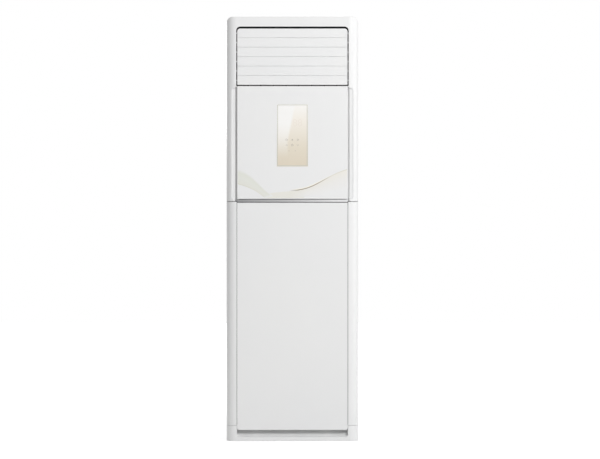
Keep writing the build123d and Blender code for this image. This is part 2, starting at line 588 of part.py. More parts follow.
with BuildPart() as upper_front_panel:
    x = (-UPPER_HALF, UPPER_HALF)
    extrude(outline(FACE_BACK, x, (UPPER_PANEL_LOW, OUTLET_LOW)), amount=PANEL_PROUD)
    chamfer(upper_front_panel.faces().sort_by(Axis.Y)[0].edges(), UPPER_EDGE)
    back = FACE_BACK + UPPER_RETURN
    side_x = UPPER_HALF - UPPER_INSET
    extrude(outline(back, (-side_x, side_x), (BACK_LOW, BACK_HIGH)), amount=UPPER_RETURN + WELD)
    in_x = side_x - UPPER_WALL
    tray = outline(back, (-in_x, in_x), (BACK_LOW + UPPER_WALL, BACK_HIGH - UPPER_WALL))
    extrude(tray, amount=UPPER_RETURN, mode=Mode.SUBTRACT)
    for boss_x in (BOSS_INSET[0] - UPPER_HALF, UPPER_HALF - BOSS_INSET[0]):
        for boss_z in (BACK_LOW + BOSS_INSET[1], BACK_HIGH - BOSS_INSET[1]):
            rod(facing_front(WALL_Y), (boss_x, boss_z), BOSS_R, WALL_Y - FACE_BACK)
    block((-LEDGE_HALF, LEDGE_HALF), (FACE_BACK - WELD, FACE_BACK + LEDGE_T), LEDGE_Z)
    for post_x in (POST_INSET - LEDGE_HALF, LEDGE_HALF - POST_INSET):
        for post_z in (LEDGE_Z[0] + POST_INSET, LEDGE_Z[1] - POST_INSET):
            rod(facing_front(BOARD_Y), (post_x, post_z), BOARD_POST_R, BOARD_GAP - LEDGE_T)
    wide = WINDOW_HALF + WINDOW_PLAY
    view = (WINDOW_LOW - WINDOW_PLAY, WINDOW_HIGH + WINDOW_PLAY)
    block((-wide, wide), (FACE_BACK - PANEL_PROUD - CUT, FACE_BACK), view, Mode.SUBTRACT)
    wide = WINDOW_HALF - WINDOW_LEDGE
    view = (WINDOW_LOW + WINDOW_LEDGE, WINDOW_HIGH - WINDOW_LEDGE)
    block((-wide, wide), (FACE_BACK - CUT, FACE_BACK + LEDGE_T + CUT), view, Mode.SUBTRACT)
write(upper_front_panel, "upper_front_panel")

with BuildPart() as display_window:
    extrude(outline(FACE_BACK, (-WINDOW_HALF, WINDOW_HALF), (WINDOW_LOW, WINDOW_HIGH)), amount=PANEL_PROUD)
    chamfer(display_window.faces().sort_by(Axis.Y)[0].edges(), WINDOW_EDGE)
write(display_window, "display_window")

with BuildPart() as display_board:
    block((-LEDGE_HALF, LEDGE_HALF), (BOARD_Y, BOARD_Y + BOARD_T), LEDGE_Z)
    digits_z = WINDOW_HIGH - DIGITS_DROP
    digits = (digits_z - DIGITS_HALF[1], digits_z + DIGITS_HALF[1])
    block((-DIGITS_HALF[0], DIGITS_HALF[0]), (BOARD_Y - DIGITS_T, BOARD_Y), digits)
    with Locations((0, (FACE_BACK + FIT + BOARD_Y) / 2, WINDOW_LOW + KEY_RISE)):
        with GridLocations(KEY_PITCH[0], 1, 3, 1):
            for key_z in (-KEY_PITCH[1] / 2, KEY_PITCH[1] / 2):
                with Locations((0, 0, key_z)):
                    Box(2 * KEY_HALF, BOARD_GAP - FIT, 2 * KEY_HALF)
    plug = (LEDGE_Z[0] + PLUG_Z[0], LEDGE_Z[0] + PLUG_Z[1])
    block((-PLUG_HALF, PLUG_HALF), (BOARD_Y + BOARD_T, BOARD_Y + BOARD_T + PLUG_T), plug)
write(display_board, "display_board")

# ---------------------------------------------------------------- air outlet: duct, louvres and vanes

DUCT_WALL = 2.5
DUCT_DEPTH = 125.0  # from the case front to the duct's rear rim
DUCT_FLANGE = 8.0
LOUVRES = 6
LOUVRE_TOP_GAP = 7.2
LOUVRE_LOW_GAP = 4.2
LOUVRE_SIDE = 4.5  # from a louvre's end to the side of the outlet
LOUVRE_INSET = 1.0  # face behind the case front
LOUVRE_T = 2.0
LOUVRE_LINE = 2.2  # gap seen between two faces
LOUVRE_CORNER_R = 12.0
LIP_RISE = 3.6  # the lip that laps behind the next louvre up
LIP_BACK = 2.6
LIP_T = 1.2
EAR_T = 3.0
EAR_HALF = 4.5
PIVOT_BACK = 7.0  # pivot line behind a louvre's face
PIN_R = 2.5
SNAP = 4.2  # mouth of the bearing slots, a little less than a pin
CRANK_R = 14.0
CRANK_ANGLE = 55.0  # above straight back, with the louvres closed
CRANK_T = 2.5
CRANK_HUB = 4.0
CRANK_PIN_R = 2.0
SIDE_PLAY = 0.5
BAR_HALF = 3.5
BAR_T = 2.5
MOTOR_BACK = 34.0  # louvre motor's shaft behind the pivot line
MOTOR_R = 13.0
MOTOR_H = 19.0
MOTOR_SHAFT_R = 3.0
MOTOR_EAR = 26.0  # from the shaft to a fixing post
MOTOR_POST_R = 4.0
MOTOR_EAR_T = 1.5
SOCKET = 6.0
VANES = 8
VANE_SIDE = 49.0  # outermost vane from the side of the outlet
VANE_INSET = 69.0  # vane pivots behind the case front
VANE_FRONT = 26.0
VANE_REAR = 30.0
VANE_T = 2.2
VANE_GAP = 4.0
VANE_CRANK = 20.0
NOTCH_LOW = 8.0
NOTCH_H = 14.0
NOTCH_DEPTH = 18.0
VANE_PIN_R = 1.6
VANE_BAR_HALF = 3.0
VANE_BAR_T = 3.0

DRIVEN_VANE = VANES // 2
LOUVRE_HALF = OUTLET_HALF - LOUVRE_SIDE
DUCT_BACK = CASE_FRONT + DUCT_DEPTH
DUCT_FRONT = SKIN_BACK + FIT
VANE_Y = CASE_FRONT + VANE_INSET
DUCT_OUT = OUTLET_HALF + DUCT_WALL
DUCT_FLOOR = OUTLET_LOW - DUCT_WALL
DUCT_ROOF = OUTLET_HIGH + DUCT_WALL
LOUVRE_FACE = CASE_FRONT + LOUVRE_INSET
PIVOT_Y = LOUVRE_FACE + PIVOT_BACK
LOUVRE_TOP = OUTLET_HIGH - LOUVRE_TOP_GAP
LOUVRE_PITCH = (LOUVRE_TOP - OUTLET_LOW - LOUVRE_LOW_GAP) / LOUVRES
PIVOTS = [LOUVRE_TOP - (n + 0.5) * LOUVRE_PITCH for n in range(LOUVRES)]
CRANK_DY = CRANK_R * cos(radians(CRANK_ANGLE))
CRANK_DZ = CRANK_R * sin(radians(CRANK_ANGLE))
CRANK_X = DUCT_OUT + SIDE_PLAY  # inner face of the louvres' cranks
BAR_X = CRANK_X + CRANK_T + SIDE_PLAY
DRIVE_X = BAR_X + BAR_T + SIDE_PLAY  # inner face of the motor's crank
MOTOR_X = DRIVE_X + CRANK_T + SIDE_PLAY
MOTOR_Y = PIVOT_Y + MOTOR_BACK
MOTOR_Z = (PIVOTS[2] + PIVOTS[3]) / 2
VANE_PITCH = 2 * (OUTLET_HALF - VANE_SIDE) / (VANES - 1)
VANE_XS = [(n - (VANES - 1) / 2) * VANE_PITCH for n in range(VANES)]
VANE_LOW = OUTLET_LOW + VANE_GAP
VANE_HIGH = OUTLET_HIGH - VANE_GAP
VANE_PIN_Y = VANE_Y + VANE_CRANK
VANE_BAR_Z = VANE_LOW + NOTCH_LOW + (NOTCH_H - VANE_BAR_T) / 2


def crank(x, pivot, radius, thickness):
    """A crank arm at x, from a pivot (y, z) to its pin, as a bar with pointed ends."""
    middle = (pivot[0] + CRANK_DY / 2, pivot[1] + CRANK_DZ / 2)
    with BuildSketch(facing_side(x)) as arm:
        with Locations(middle):
            Rectangle(CRANK_R, 2 * radius, rotation=CRANK_ANGLE)
        for end in (pivot, (pivot[0] + CRANK_DY, pivot[1] + CRANK_DZ)):
            with Locations(end):
                RegularPolygon(radius, EYE_SIDES, major_radius=False, rotation=CRANK_ANGLE)
    extrude(arm.sketch, amount=thickness)


with BuildPart() as outlet_frame:
    high = (DUCT_FLOOR, DUCT_ROOF)
    duct = outline(DUCT_BACK, (-DUCT_OUT, DUCT_OUT), high, OUTLET_R + DUCT_WALL)
    extrude(duct, amount=DUCT_BACK - DUCT_FRONT)
    rim_x = DUCT_OUT + DUCT_FLANGE
    rim_z = (DUCT_FLOOR - DUCT_FLANGE, DUCT_ROOF + DUCT_FLANGE)
    extrude(outline(DUCT_BACK, (-rim_x, rim_x), rim_z, OUTLET_R + DUCT_WALL + DUCT_FLANGE), amount=DUCT_WALL)
    for post_z in (MOTOR_Z - MOTOR_EAR, MOTOR_Z + MOTOR_EAR):
        rod(facing_side(DUCT_OUT), (MOTOR_Y, post_z), MOTOR_POST_R, MOTOR_X - DUCT_OUT)
    inside = outline(DUCT_BACK + CUT, (-OUTLET_HALF, OUTLET_HALF), (OUTLET_LOW, OUTLET_HIGH), OUTLET_R)
    extrude(inside, amount=DUCT_BACK - DUCT_FRONT + 2 * CUT, mode=Mode.SUBTRACT)
    front = (SKIN_BACK - CUT, WALL_Y + SKIN)
    block((-DUCT_OUT - CUT, DUCT_OUT + CUT), front, (DUCT_FLOOR - CUT, OUTLET_LOW), Mode.SUBTRACT)
    with BuildSketch(facing_side(-DUCT_OUT - CUT)) as bearings:
        for pivot_z in PIVOTS:
            with Locations((PIVOT_Y, pivot_z)):
                eye(PIN_R)
            with Locations(((SKIN_BACK - CUT + PIVOT_Y) / 2, pivot_z)):
                Rectangle(PIVOT_Y - SKIN_BACK + CUT, SNAP)
    extrude(amount=2 * DUCT_OUT + 2 * CUT, mode=Mode.SUBTRACT)
    with BuildSketch(Plane.XY.offset(DUCT_FLOOR - CUT)) as sockets:
        for vane_x in VANE_XS:
            with Locations((vane_x, VANE_Y)):
                eye(PIN_R)
    extrude(amount=DUCT_ROOF - DUCT_FLOOR + 2 * CUT, mode=Mode.SUBTRACT)
write(outlet_frame, "outlet_frame")

for n, pivot_z in enumerate(PIVOTS):
    low = pivot_z - (LOUVRE_PITCH - LOUVRE_LINE) / 2
    top = pivot_z + (LOUVRE_PITCH - LOUVRE_LINE) / 2
    back = LOUVRE_FACE + LOUVRE_T
    lip = LOUVRE_FACE + LIP_BACK
    with BuildPart() as louvre:
        if n == 0:
            extrude(outline(back, (-LOUVRE_HALF, LOUVRE_HALF), (low, top), LOUVRE_CORNER_R), amount=LOUVRE_T)
        else:
            section = [(LOUVRE_FACE, low), (LOUVRE_FACE, top), (lip, top), (lip, top + LIP_RISE),
                       (lip + LIP_T, top + LIP_RISE), (lip + LIP_T, top - 2 * LIP_T),
                       (back, top - 3 * LIP_T), (back, low)]
            extrude(profile(-LOUVRE_HALF, section), amount=2 * LOUVRE_HALF)
        rib = (pivot_z - LOUVRE_T / 2, pivot_z + LOUVRE_T / 2)
        block((-LOUVRE_HALF, LOUVRE_HALF), (back, back + LOUVRE_T), rib)
        for side in (-1, 1):
            ear = span(side * LOUVRE_HALF, side * (LOUVRE_HALF - EAR_T))
            block(ear, (back, PIVOT_Y + EAR_HALF), (pivot_z - EAR_HALF, pivot_z + EAR_HALF))
            pin = span(side * LOUVRE_HALF, side * (DUCT_OUT if side < 0 else CRANK_X))
            rod(facing_side(pin[0]), (PIVOT_Y, pivot_z), PIN_R, pin[1] - pin[0])
        crank(CRANK_X, (PIVOT_Y, pivot_z), CRANK_HUB, CRANK_T)
        pin_at = (PIVOT_Y + CRANK_DY, pivot_z + CRANK_DZ)
        rod(facing_side(CRANK_X + CRANK_T), pin_at, CRANK_PIN_R, BAR_X + BAR_T - CRANK_X - CRANK_T)
    write(louvre, f"louvre_{n + 1}")

with BuildPart() as louvre_tie_bar:
    bar_y = PIVOT_Y + CRANK_DY
    bar_z = (PIVOTS[-1] + CRANK_DZ - 2 * BAR_HALF, PIVOTS[0] + CRANK_DZ + 2 * BAR_HALF)
    block((BAR_X, BAR_X + BAR_T), (bar_y - BAR_HALF, bar_y + BAR_HALF), bar_z)
    drive_z = MOTOR_Z + CRANK_DZ
    arm_y = (bar_y, MOTOR_Y + CRANK_DY + BAR_HALF)
    block((BAR_X, BAR_X + BAR_T), arm_y, (drive_z - BAR_HALF, drive_z + BAR_HALF))
    with BuildSketch(facing_side(BAR_X - CUT)) as eyes:
        for pivot_z in PIVOTS:
            with Locations((bar_y, pivot_z + CRANK_DZ)):
                eye(CRANK_PIN_R)
        with Locations((MOTOR_Y + CRANK_DY, drive_z)):
            eye(CRANK_PIN_R)
    extrude(amount=BAR_T + 2 * CUT, mode=Mode.SUBTRACT)
write(louvre_tie_bar, "louvre_tie_bar")

with BuildPart() as louvre_crank:
    crank(DRIVE_X, (MOTOR_Y, MOTOR_Z), CRANK_HUB, CRANK_T)
    rod(facing_side(BAR_X), (MOTOR_Y + CRANK_DY, MOTOR_Z + CRANK_DZ), CRANK_PIN_R, DRIVE_X - BAR_X)
    shaft_x = DRIVE_X + CRANK_T
    rod(facing_side(shaft_x), (MOTOR_Y, MOTOR_Z), MOTOR_SHAFT_R, MOTOR_X + SOCKET - shaft_x)
write(louvre_crank, "louvre_crank")

with BuildPart() as louvre_motor:
    rod(facing_side(MOTOR_X), (MOTOR_Y, MOTOR_Z), MOTOR_R, MOTOR_H)
    ears = (MOTOR_Z - MOTOR_EAR - MOTOR_POST_R, MOTOR_Z + MOTOR_EAR + MOTOR_POST_R)
    block((MOTOR_X, MOTOR_X + MOTOR_EAR_T), (MOTOR_Y - MOTOR_POST_R, MOTOR_Y + MOTOR_POST_R), ears)
    rod(facing_side(MOTOR_X), (MOTOR_Y, MOTOR_Z), MOTOR_SHAFT_R + RUN, SOCKET + CUT, Mode.SUBTRACT)
write(louvre_motor, "louvre_motor")

for n, vane_x in enumerate(VANE_XS):
    with BuildPart() as vane:
        with BuildSketch(Plane.XY.offset(VANE_LOW)) as blade:
            with BuildLine():
                half = VANE_T / 2
                Polyline((vane_x, VANE_Y - VANE_FRONT), (vane_x + half, VANE_Y - VANE_FRONT / 2),
                         (vane_x + half, VANE_Y + VANE_REAR / 2), (vane_x, VANE_Y + VANE_REAR),
                         (vane_x - half, VANE_Y + VANE_REAR / 2), (vane_x - half, VANE_Y - VANE_FRONT / 2),
                         close=True)
            make_face()
        extrude(amount=VANE_HIGH - VANE_LOW)
        notch = (VANE_LOW + NOTCH_LOW, VANE_LOW + NOTCH_LOW + NOTCH_H)
        rear = VANE_Y + VANE_REAR
        block((vane_x - VANE_T, vane_x + VANE_T), (rear - NOTCH_DEPTH, rear + CUT), notch, Mode.SUBTRACT)
        rod(Plane.XY.offset(notch[0]), (vane_x, VANE_PIN_Y), VANE_PIN_R, NOTCH_H)
        rod(Plane.XY.offset(DUCT_FLOOR + FIT), (vane_x, VANE_Y), PIN_R, VANE_LOW - DUCT_FLOOR - FIT)
        reach = DUCT_ROOF + (SOCKET - FIT if n + 1 == DRIVEN_VANE else -FIT)
        rod(Plane.XY.offset(VANE_HIGH), (vane_x, VANE_Y), PIN_R, reach - VANE_HIGH)
    write(vane, f"vane_{n + 1}")

with BuildPart() as vane_tie_bar:
    bar_x = VANE_XS[-1] + 2 * VANE_BAR_HALF
    bar_y = (VANE_PIN_Y - VANE_BAR_HALF, VANE_PIN_Y + VANE_BAR_HALF)
    block((-bar_x, bar_x), bar_y, (VANE_BAR_Z, VANE_BAR_Z + VANE_BAR_T))
    with BuildSketch(Plane.XY.offset(VANE_BAR_Z - CUT)) as eyes:
        for vane_x in VANE_XS:
            with Locations((vane_x, VANE_PIN_Y)):
                eye(VANE_PIN_R)
    extrude(amount=VANE_BAR_T + 2 * CUT, mode=Mode.SUBTRACT)
write(vane_tie_bar, "vane_tie_bar")

with BuildPart() as vane_motor:
    at = (VANE_XS[DRIVEN_VANE - 1], VANE_Y)
    rod(Plane.XY.offset(DUCT_ROOF), at, MOTOR_R, MOTOR_H)
    ears = (at[0] - MOTOR_EAR - MOTOR_POST_R, at[0] + MOTOR_EAR + MOTOR_POST_R)
    block(ears, (at[1] - MOTOR_POST_R, at[1] + MOTOR_POST_R), (DUCT_ROOF, DUCT_ROOF + MOTOR_EAR_T))
    rod(Plane.XY.offset(DUCT_ROOF), at, PIN_R + RUN, SOCKET, Mode.SUBTRACT)
write(vane_motor, "vane_motor")

# ---------------------------------------------------------------- coil, heater, pan, pipes and duct liner

END_T = 1.5
END_HALF = 30.0
END_REACH = 5.0  # end plates past the fins, at each end
FIN_GROOVES = 40
FIN_GROOVE = 3.0
FIN_EDGE = 5.0  # from a groove's end to the fins' end
TUBE_R = 4.76
BEND_R = 12.0
BEND_CUT = 8.0  # how far a return bend's corner is cut off
BENDS = 5
BEND_PITCH = 80.0
BEND_STUB = 6.0
HEADER_HALF = 170.0
HEADER_STUB = 16.5  # suction header's outlet, straight back
LIQUID_STUB = 5.0
UNION_INSET = 40.0  # front of the unions from the case's rear
NUT_T = 18.0
UNION_T = 28.0
UNION_WALL = 3.5
UNION_BORE = 8.0
UNION_GROW = 2.0  # a union's barrel outside its pipe
PIPE_BEND = 14.0
PAN_SIDE = 6.0  # from the air way's side
PAN_H = 65.0
PAN_WALL = 3.0
SADDLE_IN = 10.0  # saddle's inner end from the coil's end
SADDLE_OUT = 6.0
SPIGOT_DROP = 25.0
SPIGOT_BORE = 5.0
HOSE_BORE = 7.0
HOSE_LAP = 20.0  # hose pushed over the spigot
HOSE_CUT = 32.0
HEATER_SIDE = 15.0
HEATER_FROM = 20.0
HEATER_LENGTH = 90.0
HEATER_LIFT = 42.0
HEATER_T = 15.0
HEATER_SLOTS = 4
HEATER_SLOT = 4.0
HEATER_RIM = 10.0
LINER_CAP = 30.0  # liner's top below the case's top
LINER_ROOF_T = 15.0
LINER_BEND = 180.0  # at the upper rear, where the height above the coil leaves room for it
LINER_EDGE_R = 12.0

PLATE_X = COIL_HALF + END_T
END_LENGTH = COIL_LENGTH + 2 * END_REACH
LINER_TOP = HEIGHT - LINER_CAP
LINER_ROOF = LINER_TOP - LINER_ROOF_T
HEATER_HALF = COIL_HALF - HEATER_SIDE
PAN_HALF = LINER_IN - PAN_SIDE
SUCTION_TOP_Y = COIL_Y + HEADER_STUB
UNION_Y = REAR - UNION_INSET
SPIGOT_LOW = SHELF_Z - SPIGOT_DROP
HOSE_TOP = SPIGOT_LOW + HOSE_LAP


def on_coil(x, along, lift):
    """A point given in the coil's own directions."""
    return coil.from_local_coords((x, along, lift))


def coil_box(x, along, lift, mode=Mode.ADD):
    """A box between limits given in the coil's own directions."""
    with Locations(coil):
        with Locations(((x[0] + x[1]) / 2, (along[0] + along[1]) / 2, (lift[0] + lift[1]) / 2)):
            Box(x[1] - x[0], along[1] - along[0], lift[1] - lift[0], mode=mode)


def mitred_pipe(points, radius, cut, bore=0.0, sides=0):
    """A pipe of straight runs, where a short run cuts off each corner. Round, unless sides are given."""
    corners = [Vector(*point) for point in points]
    path = [corners[0]]
    for before, corner, after in zip(corners, corners[1:], corners[2:]):
        path.append(corner + (before - corner).normalized() * cut)
        path.append(corner + (after - corner).normalized() * cut)
    path.append(corners[-1])
    with BuildLine() as route:
        Polyline(*path)
    with BuildSketch(Plane(path[0], z_dir=path[1] - path[0])) as section:
        if sides:
            RegularPolygon(radius, sides)
        else:
            Circle(radius)
        if bore:
            Circle(bore, mode=Mode.SUBTRACT)
    sweep(section.sketch, path=route.wire(), transition=Transition.RIGHT)


with BuildPart() as evaporator_fins:
    coil_box((-COIL_HALF, COIL_HALF), (-COIL_LENGTH / 2, COIL_LENGTH / 2), (-COIL_T / 2, COIL_T / 2))
    with BuildSketch(coil.offset(COIL_T / 2)) as grooves:
        with GridLocations(2 * COIL_HALF / FIN_GROOVES, 1, FIN_GROOVES, 1):
            Rectangle(FIN_GROOVE, COIL_LENGTH - 2 * FIN_EDGE)
    extrude(amount=-FIN_GROOVE, mode=Mode.SUBTRACT)
write(evaporator_fins, "evaporator_fins")

with BuildPart() as evaporator_end_plates:
    for side in (-1, 1):
        x = span(side * COIL_HALF, side * PLATE_X)
        coil_box(x, (-END_LENGTH / 2, END_LENGTH / 2), (-END_HALF, END_HALF))
write(evaporator_end_plates, "evaporator_end_plates")

rows = [(n - (BENDS - 1) / 2) * BEND_PITCH for n in range(BENDS)]
with BuildPart() as evaporator_tubes:
    turn = -PLATE_X - BEND_STUB - BEND_R
    for row in rows:
        hairpin = [(-PLATE_X, -BEND_R), (turn, -BEND_R), (turn, BEND_R), (-PLATE_X, BEND_R)]
        mitred_pipe([on_coil(x, row, lift) for x, lift in hairpin], TUBE_R, BEND_CUT, sides=EYE_SIDES)
    header = Plane(on_coil(SUCTION_X, -HEADER_HALF, 0), z_dir=coil.y_dir)
    rod(header, (0, 0), SUCTION_R, 2 * HEADER_HALF)
    for row in rows:
        with BuildSketch(Plane(on_coil(PLATE_X, row, 0), z_dir=(1, 0, 0))):
            RegularPolygon(TUBE_R, EYE_SIDES)
        extrude(amount=SUCTION_X - PLATE_X)
    rod(facing_front(SUCTION_TOP_Y), (SUCTION_X, COIL_Z), SUCTION_R, SUCTION_TOP_Y - COIL_Y)
    rod(facing_side(PLATE_X), (LIQUID_Y, LIQUID_TOP), LIQUID_R, LIQUID_STUB)
write(evaporator_tubes, "evaporator_tubes")

with BuildPart() as refrigerant_pipes:
    suction = [(SUCTION_X, SUCTION_TOP_Y, COIL_Z), (SUCTION_X, SUCTION_Y, COIL_Z),
               (SUCTION_X, SUCTION_Y, SUCTION_LOW), (SUCTION_X, UNION_Y, SUCTION_LOW)]
    mitred_pipe(suction, SUCTION_R, PIPE_BEND)
    liquid_start = PLATE_X + LIQUID_STUB
    liquid = [(liquid_start, LIQUID_Y, LIQUID_TOP), (LIQUID_X, LIQUID_Y, LIQUID_TOP),
              (LIQUID_X, LIQUID_Y, LIQUID_LOW), (LIQUID_X, UNION_Y, LIQUID_LOW)]
    mitred_pipe(liquid, LIQUID_R, (LIQUID_X - liquid_start) / 2)
write(refrigerant_pipes, "refrigerant_pipes")

with BuildPart() as service_unions:
    for x, z, radius in ((SUCTION_X, SUCTION_LOW, SUCTION_R), (LIQUID_X, LIQUID_LOW, LIQUID_R)):
        with BuildSketch(facing_front(UNION_Y + NUT_T)) as nut:
            with Locations((x, z)):
                RegularPolygon(radius + NUT_GROW, 6)
        extrude(amount=NUT_T)
        barrel = radius + UNION_GROW
        rod(facing_front(UNION_Y + UNION_T), (x, z), barrel, UNION_T - NUT_T)
        rod(facing_front(UNION_Y + UNION_T), (x, z), barrel - UNION_WALL, UNION_BORE, Mode.SUBTRACT)
write(service_unions, "service_unions")

with BuildPart() as drain_pan:
    pan_y = (SHELF_FRONT, PAN_BACK)
    top = SHELF_TOP + PAN_H
    block((-PAN_HALF, PAN_HALF), pan_y, (SHELF_TOP, top))
    inside_y = (pan_y[0] + PAN_WALL, pan_y[1] - PAN_WALL)
    inside_z = (SHELF_TOP + PAN_WALL, top + WELD)
    block((PAN_WALL - PAN_HALF, PAN_HALF - PAN_WALL), inside_y, inside_z, Mode.SUBTRACT)
    foot_front = on_coil(0, -END_LENGTH / 2, END_HALF)
    foot_back = on_coil(0, -END_LENGTH / 2, -END_HALF)
    floor = SHELF_TOP + WELD
    saddle = [(foot_front.Y, foot_front.Z), (foot_back.Y, foot_back.Z),
              (foot_back.Y, floor), (foot_front.Y, floor)]
    for side in (-1, 1):
        x = span(side * (COIL_HALF - SADDLE_IN), side * (PLATE_X + SADDLE_OUT))
        extrude(profile(x[0], saddle), amount=x[1] - x[0])
    rod(Plane.XY.offset(SPIGOT_LOW), (DRAIN_X, DRAIN_Y), SPIGOT_R, SHELF_TOP - SPIGOT_LOW)
    bore_h = SHELF_TOP + PAN_WALL - SPIGOT_LOW
    rod(Plane.XY.offset(SPIGOT_LOW), (DRAIN_X, DRAIN_Y), SPIGOT_BORE, bore_h, Mode.SUBTRACT)
write(drain_pan, "drain_pan")

with BuildPart() as drain_hose:
    corners = [(DRAIN_X, DRAIN_Y, HOSE_TOP), (DRAIN_X, DRAIN_Y, DRAIN_Z), (DRAIN_X, REAR - SHEET, DRAIN_Z)]
    mitred_pipe(corners, HOSE_R, HOSE_CUT, bore=HOSE_BORE)
write(drain_hose, "drain_hose")

with BuildPart() as auxiliary_heater:
    heater = (HEATER_FROM, HEATER_FROM + HEATER_LENGTH)
    coil_box((-HEATER_HALF, HEATER_HALF), heater, (HEATER_LIFT, HEATER_LIFT + HEATER_T))
    for side in (-1, 1):
        x = span(side * HEATER_HALF, side * PLATE_X)
        coil_box(x, heater, (END_HALF, HEATER_LIFT + HEATER_T))
    for step in range(HEATER_SLOTS):
        middle = HEATER_FROM + HEATER_LENGTH * (step + 1) / (HEATER_SLOTS + 1)
        slot = (middle - HEATER_SLOT / 2, middle + HEATER_SLOT / 2)
        slot_x = (HEATER_RIM - HEATER_HALF, HEATER_HALF - HEATER_RIM)
        coil_box(slot_x, slot, (HEATER_LIFT, HEATER_LIFT + HEATER_T), Mode.SUBTRACT)
write(auxiliary_heater, "auxiliary_heater")

with BuildPart() as duct_liner:
    step_z = DUCT_FLOOR - DUCT_FLANGE - FIT
    front_y = WALL_Y + SKIN
    outer = [(front_y, SHELF_TOP), (LINER_REAR, SHELF_TOP), (LINER_REAR, LINER_TOP),
             (DUCT_BACK, LINER_TOP), (DUCT_BACK, step_z), (front_y, step_z)]
    extrude(profile(-LINER_HALF, outer), amount=2 * LINER_HALF)
    coil_high = on_coil(0, END_LENGTH / 2, END_HALF).Z
    bend = min(LINER_BEND, LINER_ROOF - coil_high)
    with BuildSketch(facing_side(-LINER_IN)) as air_way:
        with BuildLine():
            Polyline((LINER_BACK - bend, LINER_ROOF), (WALL_Y, LINER_ROOF), (WALL_Y, SHELF_Z),
                     (LINER_BACK, SHELF_Z), (LINER_BACK, LINER_ROOF - bend))
            RadiusArc((LINER_BACK, LINER_ROOF - bend), (LINER_BACK - bend, LINER_ROOF), -bend)
        make_face()
    extrude(amount=2 * LINER_IN, mode=Mode.SUBTRACT)
    fillet(duct_liner.edges().filter_by(Axis.Y).group_by(Axis.Z)[-1], LINER_EDGE_R)
write(duct_liner, "duct_liner")

# ---------------------------------------------------------------- blower

WHEEL_GAP = 20.0  # from the wheel to the scroll at the cut-off
WHEEL_PLAY = 7.0
WHEEL_INSET = (13.0, 15.0)  # wheel inside the scroll, at the front and at the back
BLADES = 28
BLADE_W = 23.0
BLADE_EDGE = 2.0  # from the blades' outer edges to the rim of the disc
BLADE_SWEEP = -8.0  # degrees
BLADE_ANGLE = 0.5  # a blade's thickness, in degrees
DISC_T = 2.5
RING_H = 4.0
RING_W = 5.0
SHAFT_R = 6.0
SHAFT_PLAY = 0.08
HUB_H = 50.0  # in front of the wheel's back
HUB_TAIL = 6.0
HUB_R = 24.0
HUB_SKIRT = 60.0
SHAFT_NOSE = 10.0
SHAFT_TAIL = 15.0  # behind the scroll
SHAFT_NUT = (10.0, 7.0)  # corner radius and height
INLET_STEP = 39.0  # the inlet's throat inside the wheel's radius
INLET_CURVE = 21.5
INLET_FLANGE = 17.0
BRACKET_HALF = 80.0
BRACKET_T = 2.0
BRACKET_HOLE = 45.0
POST_HALF = 52.0  # the motor's fixing posts, from its axis
POST_R = 7.0
POST_H = 6.0
FAN_MOTOR_R = 62.0
BELL_R = 50.0
BELL_H = 6.0
FAN_MOTOR_H = 62.0
BOSS_H = 9.0
MOTOR_PLATE_T = 4.0
STAND_GAP = 45.0  # the stand's top below the cut-off radius
HOUSING_FOOT = 50.0
STAND_X = (100.0, 140.0)
STAND_INSET = 15.0
STAND_T = 2.0

axis_at = (AXIS_X, AXIS_Z)
WHEEL_R = SCROLL_R - WHEEL_GAP
WHEEL_FRONT = SCROLL_FRONT + WHEEL_INSET[0]
WHEEL_BACK = SCROLL_BACK - WHEEL_INSET[1]
BLADE_OUT = WHEEL_R - BLADE_EDGE
BLADE_IN = BLADE_OUT - BLADE_W
HUB_FRONT = WHEEL_BACK - HUB_H
HUB_BACK = WHEEL_BACK + HUB_TAIL
SHAFT_FRONT = HUB_FRONT - SHAFT_NOSE
SHAFT_BACK = SCROLL_BACK + SHAFT_TAIL
INLET_R = WHEEL_R - INLET_STEP
BLOWER_FOOT = AXIS_Z - SCROLL_R - STAND_GAP
STAND_Y = (SCROLL_FRONT + STAND_INSET, SCROLL_BACK - STAND_INSET)


def scroll(y, grow):
    """The scroll seen from the front: quarter arcs of growing radius, then the upright outlet."""
    step = SCROLL_STEP / 2
    radii = [SCROLL_R + n * SCROLL_STEP + grow for n in range(3)]
    centres = [(AXIS_X + x, AXIS_Z + z) for x, z in ((step, -step), (-step, -step), (-step, step))]
    right = SCROLL_RIGHT + grow
    rise = (radii[0] ** 2 - (right - centres[0][0]) ** 2) ** 0.5
    cut = degrees(atan2(rise, right - centres[0][0]))
    left = centres[2][0] - radii[2]
    with BuildSketch(facing_front(y)) as shape:
        with BuildLine():
            CenterArc(centres[0], radii[0], cut, -cut)
            CenterArc(centres[1], radii[1], 0, -90)
            CenterArc(centres[2], radii[2], 270, -90)
            Polyline((left, centres[2][1]), (left, SHELF_Z), (right, SHELF_Z), (right, centres[0][1] + rise))
        make_face()
    return shape.sketch


